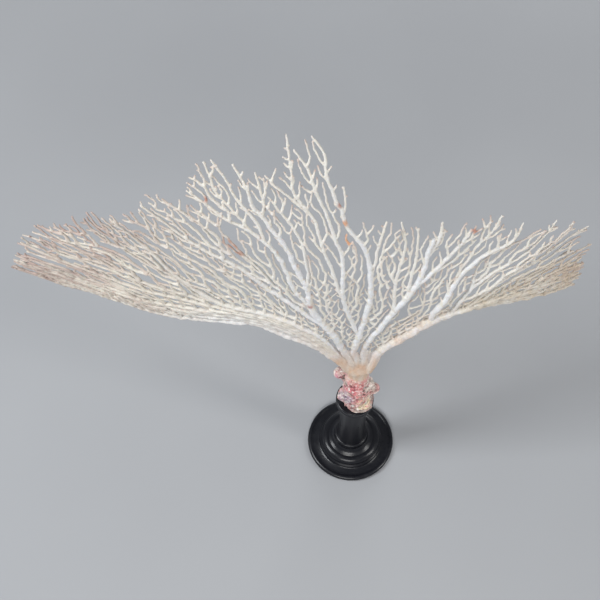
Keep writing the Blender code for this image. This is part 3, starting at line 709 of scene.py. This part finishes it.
def mix(a, b, share):
    """Blend of two colours, with a share for each vertex."""
    share = np.clip(np.asarray(share, float), 0, 1)[:, None]
    return np.asarray(a) * (1 - share) + np.asarray(b) * share


# Fan pieces

IVORY = (0.70, 0.665, 0.585)
CHALK = (0.715, 0.725, 0.745)
BEIGE = (0.55, 0.47, 0.375)
SAND = (0.58, 0.49, 0.36)
BLUSH = (0.48, 0.37, 0.33)
PEACH = (0.64, 0.455, 0.335)
# Brown of the painted shade laid into the recesses of the fan and the trunk
RECESS_SHADE_BROWN = (0.20, 0.155, 0.12)
RUST = (0.36, 0.085, 0.035)
MAROON = (0.42, 0.165, 0.10)
ORANGE = (0.62, 0.22, 0.04)

STAIN_STRENGTH = 0.7
# Small stains: bearing, distance, radius in mm, colour
STAINS = [
    (117.0, 305, 1.9, RUST), (69.2, 258, 2.4, RUST), (109.0, 153, 1.8, RUST), (95.2, 272, 1.9, RUST),
    (118.5, 256, 2.8, MAROON), (118.2, 248, 2.8, MAROON), (118.0, 239, 2.6, MAROON),
    (94.8, 252, 2.2, ORANGE), (95.0, 238, 1.8, ORANGE), (94.5, 233, 1.8, ORANGE), (94.2, 229, 1.7, ORANGE),
]


def peach_share(places):
    """Share of the warm colour that fades out from the trunk, further along the two outer arms."""
    distance, bearing = polar(places)
    arm = np.clip((76 - bearing) / 6, 0, 1) + 0.5 * np.clip((bearing - 112) / 6, 0, 1)
    patch = cloud(places, 0.06)
    streak = cloud(places * (0.25, 0.25, 0.05), 1.0)
    near = np.clip((86 - distance) / 60, 0, 1)
    along = arm * np.clip((160 - distance) / 90, 0, 1) * 0.6
    return np.maximum(near, along) * (0.85 + 0.5 * patch + 0.8 * streak)


def fan_colours(obj, samples):
    """Colours a branch. A sample is a place on a strand, its radius, share of length and tone."""
    places = vertex_places(obj)
    tree = kdtree.KDTree(len(samples))
    for i, sample in enumerate(samples):
        tree.insert(sample[0], i)
    tree.balance()
    radius = np.zeros(len(places))
    far = np.zeros(len(places))
    tone = np.zeros(len(places))
    for i, place in enumerate(places):
        _, index, _ = tree.find(place)
        _, radius[i], far[i], tone[i] = samples[index]
    distance, bearing = polar(places)
    patch = cloud(places, 0.03)
    grain = cloud(places, 0.16, (9, 0, 0))
    colour = np.tile(IVORY, (len(places), 1))
    middle = np.clip(1.5 - np.abs(bearing - 85) / 42, 0, 1)
    colour = mix(colour, CHALK, (np.clip((radius - 1.2) / 1.2, 0, 1) * 0.8 + 0.25) * middle)
    low_left = np.interp(distance, *zip(*LOW_LEFT))
    low_right = np.interp(distance, *zip(*LOW_RIGHT))
    low = np.clip(np.maximum((bearing - low_left) / 12, (low_right - bearing) / 10), 0, 1)
    out = np.clip((distance - 150) / 150, 0, 1)
    colour = mix(colour, CHALK, low * (1 - out) * (0.8 + 0.5 * grain))
    colour = mix(colour, BEIGE, low * (0.05 + out * (0.25 + 0.5 * tone) + 0.3 * patch + 0.25 * grain))
    warm = np.clip((low_right + 6 - bearing) / 8, 0, 1) * np.clip((distance - 110) / 90, 0, 1)
    colour = mix(colour, SAND, warm * (0.55 + 0.4 * patch + 0.4 * grain))
    reach = np.clip((distance - 190) / 120, 0, 1)
    wing = np.clip((bearing - 112) / 30, 0, 1) + np.clip((58 - bearing) / 20, 0, 1)
    colour = mix(colour, BLUSH, reach * wing * (0.15 + 0.75 * tone + 0.4 * patch + 0.3 * grain))
    colour = mix(colour, BLUSH, far**4 * (0.2 + 0.6 * tone + 0.3 * patch))
    colour = mix(colour, PEACH, peach_share(places))
    for place, at, size, stain in STAINS:
        off = places - sheet_points(place, at)
        near = np.hypot(off[:, 0], off[:, 2])
        colour = mix(colour, stain, np.clip(1.5 - near / size / 1.4, 0, 1) * STAIN_STRENGTH)
    # Painted shade: darker where the skin lies below its surroundings, in the recesses between strands
    painted_recess_shade = np.clip(hollows(obj) * 4 - 0.15, 0, 0.7) * np.clip((distance - 60) / 200, 0.2, 1)
    paint(obj, mix(colour, RECESS_SHADE_BROWN, painted_recess_shade))


def make_branch(group, strands, material):
    """One fine branch: all its strands melted into one skin."""
    parts = []
    samples = []
    for s in strands:
        if s.group != group:
            continue
        points, radii = strand_path(s)
        if not s.parent:
            inside = sheet_points([s.points[0][0]] * 2, [WEB_END - 5, WEB_END - 2.5])
            points = np.vstack([inside, points])
            radii = np.concatenate([[radii[0]] * 2, radii])
        parts.append(tube(points, radii))
        share = np.linspace(0, 1, len(points)) if not s.limb else np.zeros(len(points))
        tones = [s.tone] * len(points)
        samples.extend(zip(points.tolist(), radii.tolist(), share.tolist(), tones))
    for points, radii in band_tubes(group):
        parts.append(tube(points, radii))
        tones = [BAND_TONE] * len(points)
        samples.extend(zip(points.tolist(), radii.tolist(), [0.0] * len(points), tones))
    length = STEP * sum(len(s.points) for s in strands if s.group == group)
    obj = mesh_object("fine_" + group, parts)
    fused(obj, VOXEL, min(MOST_TRIANGLES, TRIANGLES_PER_MM * length), swell=0.14)
    roughen(obj)
    keep_in_box(obj)
    fan_colours(obj, samples)
    obj.data.materials.append(material)
    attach(obj, "root")
    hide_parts(group)


def roughen(obj):
    """Small knobs of the dried skin, larger on the fused low band."""
    places = vertex_places(obj)
    normals = vertex_normals(obj)
    distance, bearing = polar(places)
    past_left = bearing - np.interp(distance, *zip(*LOW_LEFT))
    past_right = np.interp(distance, *zip(*LOW_RIGHT)) - bearing
    low = np.clip(np.maximum(past_left, past_right) / 6 + 0.5, 0, 1) * np.clip((distance - 60) / 30, 0, 1)
    knobs = cloud(places, 0.36)
    grit = cloud(places, 0.85, (7, 0, 0))
    lumps = cloud(places, 0.17, (0, 5, 0))
    height = KNOB_HEIGHT * knobs + GRIT_HEIGHT * grit + low * BAND_LUMP_HEIGHT * lumps
    set_places(obj, places + normals * height[:, None])


def keep_in_box(obj):
    low, high = (np.array(corner, float) / MM for corner in cad_box)
    places = vertex_places(obj)
    set_places(obj, np.clip(places, low + 0.15, high - 0.15))


# Web and trunk

# Web between the limbs: distance, bearing of its right and left edge, half thickness
WEB_ROWS = [(20, 60.5, 125.5, 7.0), (34, 65.0, 119.5, 3.6), (48, 67.4, 119.6, 1.5), (62, 69.6, 122.4, 1.0)]
SKIN_END = 47
# Height in mm up to which the rock's crust creeps over the trunk
CRUST_TOP = 205
# Thin strands in the web: bearing and the distance where they end
SMALL_RIBS = [(109.0, 60), (100.4, 58), (92.6, 60), (91.0, 54), (83.6, 60), (81.2, 57), (78.4, 62)]
# Trunk from inside the rock to its waist: height, half width, half depth
TRUNK_RINGS = [(191.5, 12.6, 9.6), (197, 11.6, 9.2), (201, 10.8, 8.8), (206, 10.3, 8.5)]
SKIRT_KNOBS = 46


def web_section(distance, columns):
    """Ring around the skin between the limbs at a distance from the root."""
    right, left, skin = (float(np.interp(distance, [r[0] for r in WEB_ROWS], [r[k] for r in WEB_ROWS]))
                         for k in (1, 2, 3))
    share = np.linspace(0, 1, columns)
    half = skin * np.sqrt(1 - (2 * share - 1) ** 4)
    half[0] = half[-1] = 0.4
    middle = sheet_points(right + (left - right) * share, np.full(columns, distance))
    front = middle - np.stack([0 * half, half, 0 * half], 1)
    back = middle + np.stack([0 * half, half, 0 * half], 1)
    return np.vstack([front[::-1], back])


def rib(bearing, radius, start, end):
    """A limb or twig carried on through the web down to the trunk."""
    last_right, last_left = WEB_ROWS[-1][1:3]
    place = (bearing - last_right) / (last_left - last_right)
    distances = np.arange(start, end + 0.1, 2.0)
    right = np.interp(distances, [r[0] for r in WEB_ROWS], [r[1] for r in WEB_ROWS])
    left = np.interp(distances, [r[0] for r in WEB_ROWS], [r[2] for r in WEB_ROWS])
    points = sheet_points(right + (left - right) * place, distances)
    points[:, 1] -= 0.9 * np.clip((50 - distances) / 20, 0, 1)
    return tube(points, radius * (1.0 + 0.12 * np.clip((60 - distances) / 40, 0, 1)))


def loft(rings):
    """Closed solid through rings of points in mm."""
    count = len(rings[0])
    faces = []
    for i in range(len(rings) - 1):
        for k in range(count):
            n = (k + 1) % count
            faces.append((i * count + k, i * count + n, (i + 1) * count + n, (i + 1) * count + k))
    faces.append(tuple(range(count))[::-1])
    faces.append(tuple((len(rings) - 1) * count + k for k in range(count)))
    return np.vstack(rings), faces


def make_web(material):
    """The trunk, the web above it and the ribs of the limbs in it."""
    columns = 60
    angle = np.pi + 2 * np.pi * (np.arange(2 * columns) + 0.5) / (2 * columns)
    rings = []
    for height, half_x, half_y in TRUNK_RINGS:
        rings.append(np.stack([half_x * np.cos(angle), half_y * np.sin(angle), 0 * angle + height], 1))
    for distance in (20, 27, 34, 41, SKIN_END):
        rings.append(web_section(distance, columns))
    parts = [loft(rings)]
    for limbs in LIMBS.values():
        parts += [rib(limb[0][0], limb[0][2], 22, WEB_END + 2) for limb in limbs if limb[0][1] == WEB_END]
    parts += [rib(bearing, 1.3, 40, WEB_END + 2) for _, bearing in ROOT_TWIGS]
    parts += [rib(bearing, 0.9, 40, end) for bearing, end in SMALL_RIBS]
    for _ in range(SKIRT_KNOBS):
        height = random.uniform(192.5, 203)
        turn = random.uniform(0, 2 * math.pi)
        size = random.uniform(1.0, 2.1)
        reach = np.interp(height, (192, 203), (11.6, 9.8))
        place = (reach * math.cos(turn), 0.78 * reach * math.sin(turn), height)
        parts.append(ball(place, (size, size, size), random.random() * 50, rings=7))
    obj = mesh_object("grown_base", parts)
    fused(obj, 0.6, 60000, smooth=5, swell=0.2)
    places = vertex_places(obj)
    normals = vertex_normals(obj)
    bump = 0.6 * cloud(places, 0.09) + 0.3 * cloud(places, 0.3)
    set_places(obj, places + normals * bump[:, None])
    places = vertex_places(obj)
    distance, _ = polar(places)
    colour = mix(np.tile(IVORY, (len(places), 1)), CHALK, np.clip((distance - 25) / 40, 0, 0.8))
    colour = mix(colour, PEACH, peach_share(places))
    # Painted shade: darker in the recesses of the trunk and web
    colour = mix(colour, RECESS_SHADE_BROWN, np.clip(hollows(obj) * 3 - 0.1, 0, 0.35))
    ragged = 4.5 * cloud(places * (0.14, 0.14, 0.1), 1.0) + 2.5 * cloud(places, 0.5)
    crust = np.clip((CRUST_TOP + ragged - places[:, 2]) / 3, 0, 1)[:, None]
    paint(obj, colour * (1 - crust) + rock_colours(places) * crust)
    obj.data.materials.append(material)
    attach(obj, "root")
    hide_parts("fan_base")


# Rock

# Body of the rock: height, middle, half width and half depth
ROCK_RINGS = [
    (135.2, (4.0, -3.0), (14.2, 13.8)),
    (138.5, (3.8, -3.4), (15.6, 15.2)),
    (147, (2.4, -2.6), (16.0, 15.4)),
    (156, (1.0, -1.8), (15.8, 14.8)),
    (165, (1.2, -1.0), (14.8, 13.6)),
    (174, (1.4, -0.8), (14.2, 12.6)),
    (184, (0.6, -0.4), (13.4, 11.2)),
    (194, (0.0, 0.0), (12.8, 9.8)),
]
# Lobes of the rock: middle and half sizes
ROCK_LUMPS = [
    ((-15.8, 8.4, 185.6), (8.0, 6.8, 7.2)),
    ((18.0, -3.0, 170.5), (6.6, 6.0, 7.0)),
    ((-11.8, -4.0, 154.5), (8.2, 8.0, 8.0)),
    ((9.0, -11.0, 147.0), (8.6, 8.4, 9.0)),
    ((-3.5, -12.0, 147.5), (6.4, 5.6, 6.6)),
    ((12.6, -2.0, 180.5), (5.8, 6.0, 7.5)),
    ((-10.5, 5.0, 179.0), (5.0, 5.0, 6.5)),
]
SMALL_LUMPS = 130
ROCK_BOTTOM = 135.15

ROCK_PINK = (0.66, 0.38, 0.36)
ROCK_CREAM = (0.74, 0.61, 0.52)
ROCK_RED = (0.62, 0.20, 0.21)
ROCK_WHITE = (0.86, 0.82, 0.76)
ROCK_CREVICE = (0.15, 0.08, 0.07)
PORE_DARK = (0.05, 0.03, 0.03)
# Coloured patches of crust: centre, radius, colour, strength
ROCK_PATCHES = [
    ((-3, -11, 185), 9, (0.68, 0.17, 0.20), 0.9),
    ((0, -14, 167), 9, (0.66, 0.20, 0.21), 0.75),
    ((-14, -4, 175), 7, (0.70, 0.26, 0.32), 0.75),
    ((14, -5, 184), 6, (0.84, 0.80, 0.71), 0.8),
    ((-12, -11, 161), 8, (0.55, 0.48, 0.60), 0.75),
    ((10, -14, 154), 9, (0.76, 0.67, 0.44), 0.85),
    ((-20, 3, 186), 5, (0.58, 0.22, 0.33), 0.6),
    ((1, -9, 197), 7, (0.69, 0.27, 0.26), 0.75),
]
# Dark pores: centre and radius
PORES = [
    ((7, -11, 182), 1.3), ((8, -12, 175), 1.4), ((14, -9, 180), 1.2), ((11, -10, 177), 1.0), ((12, -8, 186), 0.9),
]


def ball(centre, half, seed=0.0, rings=10):
    """A slightly uneven ellipsoid."""
    sections = []
    angle = 2 * np.pi * np.arange(14) / 14
    for i in range(1, rings):
        tilt = np.pi * i / rings
        ring = []
        for a in angle:
            way = np.array([math.sin(tilt) * math.cos(a), math.sin(tilt) * math.sin(a), -math.cos(tilt)])
            bump = 1 + 0.14 * noise.noise(Vector(way * 1.7) + Vector((seed, 0, 0)))
            ring.append(np.array(centre) + np.array(half) * way * bump)
        sections.append(np.array(ring))
    return loft(sections)


def ring_value(height, column, axis):
    """Middle or half size of the rock's body at a height, along one axis."""
    return float(np.interp(height, [r[0] for r in ROCK_RINGS], [r[column][axis] for r in ROCK_RINGS]))


def make_rock(material):
    """The crusted rock: its body, lobes and small lumps melted into one skin."""
    random.seed(5)
    angle = 2 * np.pi * np.arange(40) / 40
    rings = [np.stack([c[0] + h[0] * np.cos(angle), c[1] + h[1] * np.sin(angle), 0 * angle + z], 1)
             for z, c, h in ROCK_RINGS]
    parts = [loft(rings)] + [ball(c, h, i * 3.0) for i, (c, h) in enumerate(ROCK_LUMPS)]
    for _ in range(SMALL_LUMPS):
        height = random.uniform(137, 190)
        turn = random.uniform(0, 2 * math.pi)
        size = random.uniform(1.2, 2.8)
        x = ring_value(height, 1, 0) + (ring_value(height, 2, 0) - size * 0.45) * math.cos(turn)
        y = ring_value(height, 1, 1) + (ring_value(height, 2, 1) - size * 0.45) * math.sin(turn)
        half = (size, size, size * random.uniform(0.7, 1.1))
        parts.append(ball((x, y, height), half, random.random() * 50, rings=7))
    obj = mesh_object("crusted_rock", parts)
    fused(obj, 0.55, 80000, smooth=1)
    places = vertex_places(obj)
    normals = vertex_normals(obj)
    bump = cloud(places, 0.12) + 0.7 * cloud(places, 0.3, (4, 0, 0)) + 0.35 * cloud(places, 0.8)
    # Painted shade and light: darker in the low places of the bumps, slightly lighter on the raised ones
    painted_bump_shade = np.clip(0.72 + 0.55 * (bump + 0.25), 0.35, 1.1)
    level = np.clip((places[:, 2] - ROCK_BOTTOM - 1.35) / 3, 0, 1)
    places = places + normals * (bump * level)[:, None]
    places[:, 2] = np.maximum(places[:, 2], ROCK_BOTTOM)
    set_places(obj, places)
    # Painted shade: darker again in the recesses between the lumps
    shade = painted_bump_shade * (1 - np.clip(hollows(obj) * 2.5, 0, 0.5))
    paint(obj, rock_colours(places) * shade[:, None])
    obj.data.materials.append(material)
    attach(obj, "root")
    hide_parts("holdfast_rock")


def rock_colours(places):
    """Patches of pink, white, lilac and cream crust with dark pores."""
    tall = places * (1, 1, 0.65)
    mottle = cloud(tall, 0.35, (0, 0, 3))
    colour = np.tile(ROCK_PINK, (len(places), 1))
    colour = mix(colour, ROCK_CREAM, 0.3 + 2.2 * cloud(tall, 0.16, (0, 0, 2)))
    for centre, radius, tone, strength in ROCK_PATCHES:
        near = 1.5 - np.linalg.norm(places - centre, axis=1) / radius + 0.9 * mottle
        colour = mix(colour, tone, np.clip(near, 0, 1) * strength)
    colour = mix(colour, ROCK_RED, 2.2 * cloud(tall, 0.26, (0, 0, 11)) - 0.45)
    colour = mix(colour, ROCK_WHITE, 3.0 * cloud(tall, 0.4, (0, 0, 23)) - 0.6)
    for centre, radius in PORES:
        near = 1.6 - np.linalg.norm(places - centre, axis=1) / radius
        colour = mix(colour, PORE_DARK, np.clip(near, 0, 1))
    return mix(colour, ROCK_CREVICE, 5.0 * cloud(tall, 0.7, (0, 0, 47)) - 2.3)


# Turned stand

def arc(centre, radius, start, end, steps):
    """Points of a profile along an arc, between two angles in degrees."""
    angle = np.radians(np.linspace(start, end, steps + 1))
    return list(zip(centre[0] + radius * np.cos(angle), centre[1] + radius * np.sin(angle)))


def turned(name, profile, sides=128):
    """Solid of revolution from a profile of (radius, height) in mm."""
    angle = 2 * np.pi * np.arange(sides) / sides
    rings = [np.stack([r * np.cos(angle), r * np.sin(angle), 0 * angle + z], 1) for r, z in profile]
    obj = mesh_object(name, [loft(rings)])
    obj.data.polygons.foreach_set("use_smooth", [True] * len(obj.data.polygons))
    obj.data.set_sharp_from_angle(angle=math.radians(32))
    return obj


def eased(profile):
    """Rounds a profile's corners by cutting them twice."""
    points = [np.array(p, float) for p in profile]
    for _ in range(2):
        out = [points[0]]
        for a, b in zip(points, points[1:]):
            out.append(a * 0.78 + b * 0.22)
            out.append(a * 0.22 + b * 0.78)
        out.append(points[-1])
        points = out
    return [tuple(p) for p in points]


FOOT_TOP = 26.0
STAND_GAP = 0.15


def make_stand(material):
    """The foot and the stem, each turned from a profile of (radius, height) in mm."""
    foot = [(0.01, 0), (30, 0), (48.2, 0)] + arc((46.6, 3.2), 3.2, -55, 100, 8)
    foot += eased([(46.0, 6.2), (43.5, 5.4), (37.5, 6.6), (35.9, 7.4), (35.6, 9.4)])[1:]
    foot += arc((27.2, 11.6), 6.6, -5, 105, 10)
    foot += eased([(25.0, 18.3), (22.2, 20.0), (19.4, 23.2), (19.2, 26.0)])[1:] + [(0.01, FOOT_TOP)]
    bottom = FOOT_TOP + STAND_GAP
    stem = [(0.01, bottom), (18.0, bottom)] + arc((16.6, bottom + 2.4), 2.2, -20, 90, 6)
    stem += eased([(16.6, bottom + 5.0), (16.5, bottom + 9.0), (15.2, bottom + 24), (14.4, 92), (14.8, 116),
                   (16.4, 123), (19.0, 126.0)])
    stem += arc((18.6, 127.8), 1.7, -50, 40, 5) + [(19.6, 130.4), (19.7, 131.6)]
    stem += arc((18.7, 133.3), 1.6, -20, 90, 6) + [(0.01, 134.9)]
    for name, profile, node in (("turned_foot", foot, "stand_foot"), ("turned_stem", stem, "stand_stem")):
        obj = turned(name, profile)
        obj.data.materials.append(material)
        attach(obj, "root")
        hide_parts(node)


# Materials

class Nodes:
    """Short way to write a node tree."""

    def __init__(self, name):
        self.material = bpy.data.materials.new(name)
        self.material.use_nodes = True
        self.tree = self.material.node_tree
        self.shader = self.tree.nodes["Principled BSDF"]

    def add(self, kind, **values):
        node = self.tree.nodes.new(kind)
        for key, value in values.items():
            if key in node.inputs:
                node.inputs[key].default_value = value
            else:
                setattr(node, key, value)
        return node

    def link(self, source, target):
        self.tree.links.new(source, target)

    def noise(self, scale, detail=3.0, rough=0.5, vector=None):
        node = self.add("ShaderNodeTexNoise", Scale=scale, Detail=detail, Roughness=rough)
        self.link(vector or self.place(), node.inputs["Vector"])
        return node.outputs["Fac"]

    def place(self):
        if not hasattr(self, "_place"):
            self._place = self.add("ShaderNodeTexCoord").outputs["Object"]
        return self._place

    def ramp(self, source, low, high, start=0.0, end=1.0):
        limits = {"From Min": low, "From Max": high, "To Min": start, "To Max": end}
        node = self.add("ShaderNodeMapRange", **limits)
        self.link(source, node.inputs["Value"])
        return node.outputs["Result"]

    def blend(self, share, a, b, mode="MIX"):
        node = self.tree.nodes.new("ShaderNodeMix")
        node.data_type = "RGBA"
        node.blend_type = mode
        for value, socket in ((share, 0), (a, 6), (b, 7)):
            if isinstance(value, (int, float, tuple)):
                node.inputs[socket].default_value = value
            else:
                self.link(value, node.inputs[socket])
        return node.outputs[2]

    def bump(self, height, strength, distance, after=None):
        node = self.add("ShaderNodeBump", Strength=strength, Distance=distance)
        self.link(height, node.inputs["Height"])
        if after:
            self.link(after, node.inputs["Normal"])
        return node.outputs["Normal"]


def fan_material():
    n = Nodes("dried_fan")
    tint = n.add("ShaderNodeVertexColor", layer_name="tint").outputs["Color"]
    fine = n.noise(1400, 4, 0.6)
    broad = n.noise(160, 3, 0.5)
    colour = n.blend(n.ramp(fine, 0.35, 0.7, 0.0, 0.4), tint, (0.40, 0.35, 0.30, 1), "MULTIPLY")
    colour = n.blend(n.ramp(broad, 0.45, 0.75, 0.0, 0.3), colour, (0.84, 0.79, 0.73, 1), "MULTIPLY")
    n.link(colour, n.shader.inputs["Base Color"])
    n.link(n.ramp(fine, 0.3, 0.7, 0.55, 0.85), n.shader.inputs["Roughness"])
    n.shader.inputs["Subsurface Weight"].default_value = 0.12
    n.shader.inputs["Subsurface Radius"].default_value = (0.0018, 0.0012, 0.0008)
    n.shader.inputs["Subsurface Scale"].default_value = 0.6
    pits = n.bump(fine, 0.35, 0.0004)
    n.link(n.bump(n.noise(420, 2, 0.5), 0.3, 0.0006, pits), n.shader.inputs["Normal"])
    return n.material


def rock_material():
    n = Nodes("encrusted_rock")
    tint = n.add("ShaderNodeVertexColor", layer_name="tint").outputs["Color"]
    fine = n.noise(900, 5, 0.65)
    crust = n.noise(260, 4, 0.6)
    colour = n.blend(n.ramp(fine, 0.40, 0.68, 0.0, 0.6), tint, (0.30, 0.20, 0.18, 1), "MULTIPLY")
    colour = n.blend(n.ramp(crust, 0.54, 0.66, 0.0, 0.6), colour, (0.74, 0.64, 0.60, 1))
    n.link(colour, n.shader.inputs["Base Color"])
    n.link(n.ramp(crust, 0.3, 0.7, 0.6, 0.9), n.shader.inputs["Roughness"])
    first = n.bump(fine, 0.5, 0.0007)
    n.link(n.bump(crust, 0.6, 0.0012, first), n.shader.inputs["Normal"])
    return n.material


def wood_material():
    n = Nodes("black_wood")
    mapping = n.add("ShaderNodeMapping")
    mapping.inputs["Scale"].default_value = (1.0, 1.0, 0.12)
    n.link(n.place(), mapping.inputs["Vector"])
    grain = n.noise(420, 6, 0.6, mapping.outputs["Vector"])
    dust = n.noise(55, 4, 0.6)
    colour = n.blend(n.ramp(grain, 0.35, 0.72), (0.0045, 0.005, 0.0075, 1), (0.0085, 0.0088, 0.0115, 1))
    colour = n.blend(n.ramp(dust, 0.55, 0.78, 0.0, 0.12), colour, (0.10, 0.10, 0.105, 1))
    n.link(colour, n.shader.inputs["Base Color"])
    n.link(n.ramp(grain, 0.3, 0.7, 0.27, 0.32), n.shader.inputs["Roughness"])
    n.shader.inputs["Specular IOR Level"].default_value = 0.32
    n.shader.inputs["Coat Weight"].default_value = 0.1
    n.shader.inputs["Coat Roughness"].default_value = 0.18
    n.link(n.bump(grain, 0.05, 0.0003), n.shader.inputs["Normal"])
    return n.material


def floor_material():
    n = Nodes("studio_floor")
    haze = n.noise(3.0, 2, 0.5)
    n.link(n.blend(n.ramp(haze, 0.3, 0.7), (0.325, 0.332, 0.345, 1), (0.342, 0.35, 0.363, 1)),
           n.shader.inputs["Base Color"])
    n.shader.inputs["Roughness"].default_value = 0.8
    return n.material


# Studio

def area_light(name, place, target, size, power, colour):
    data = bpy.data.lights.new(name, "AREA")
    data.shape = "RECTANGLE"
    data.size, data.size_y = size
    data.energy = power
    data.color = colour
    obj = bpy.data.objects.new(name, data)
    bpy.context.scene.collection.objects.link(obj)
    obj.location = place
    obj.rotation_euler = (Vector(target) - Vector(place)).to_track_quat("-Z", "Y").to_euler()


def make_studio():
    mesh = bpy.data.meshes.new("floor")
    mesh.from_pydata([(-4, -4, 0), (4, -4, 0), (4, 4, 0), (-4, 4, 0)], [], [(0, 1, 2, 3)])
    floor = bpy.data.objects.new("floor", mesh)
    bpy.context.scene.collection.objects.link(floor)
    floor.data.materials.append(floor_material())
    target = (0, 0, 0.25)
    area_light("front_softbox", (-0.35, -1.9, 1.6), target, (1.2, 0.7), 28, (1.0, 0.99, 0.98))
    area_light("left_softbox", (-1.3, -0.2, 1.5), target, (0.5, 1.2), 27, (0.95, 0.975, 1.0))
    area_light("right_softbox", (1.4, -0.6, 1.1), target, (0.35, 1.2), 12, (1.0, 0.99, 0.97))
    area_light("back_softbox", (0.3, 1.7, 0.45), target, (1.4, 0.6), 15, (0.97, 0.98, 1.0))
    world = bpy.data.worlds.new("studio")
    world.use_nodes = True
    world.node_tree.nodes["Background"].inputs["Color"].default_value = (0.9, 0.94, 1.0, 1)
    world.node_tree.nodes["Background"].inputs["Strength"].default_value = 0.24
    bpy.context.scene.world = world
    bpy.context.scene.view_settings.view_transform = "Standard"
    camera = bpy.data.cameras.new("camera")
    camera.lens = LENS
    camera.sensor_width = 36
    camera.clip_end = 20
    obj = bpy.data.objects.new("camera", camera)
    bpy.context.scene.collection.objects.link(obj)
    obj.location = CAMERA_AT
    obj.rotation_euler = (math.radians(CAMERA_TILT), 0, 0)
    bpy.context.scene.camera = obj


strands = grow()
fan = fan_material()
make_stand(wood_material())
make_rock(rock_material())
make_web(fan)
for group in LIMBS:
    make_branch(group, strands, fan)
make_studio()
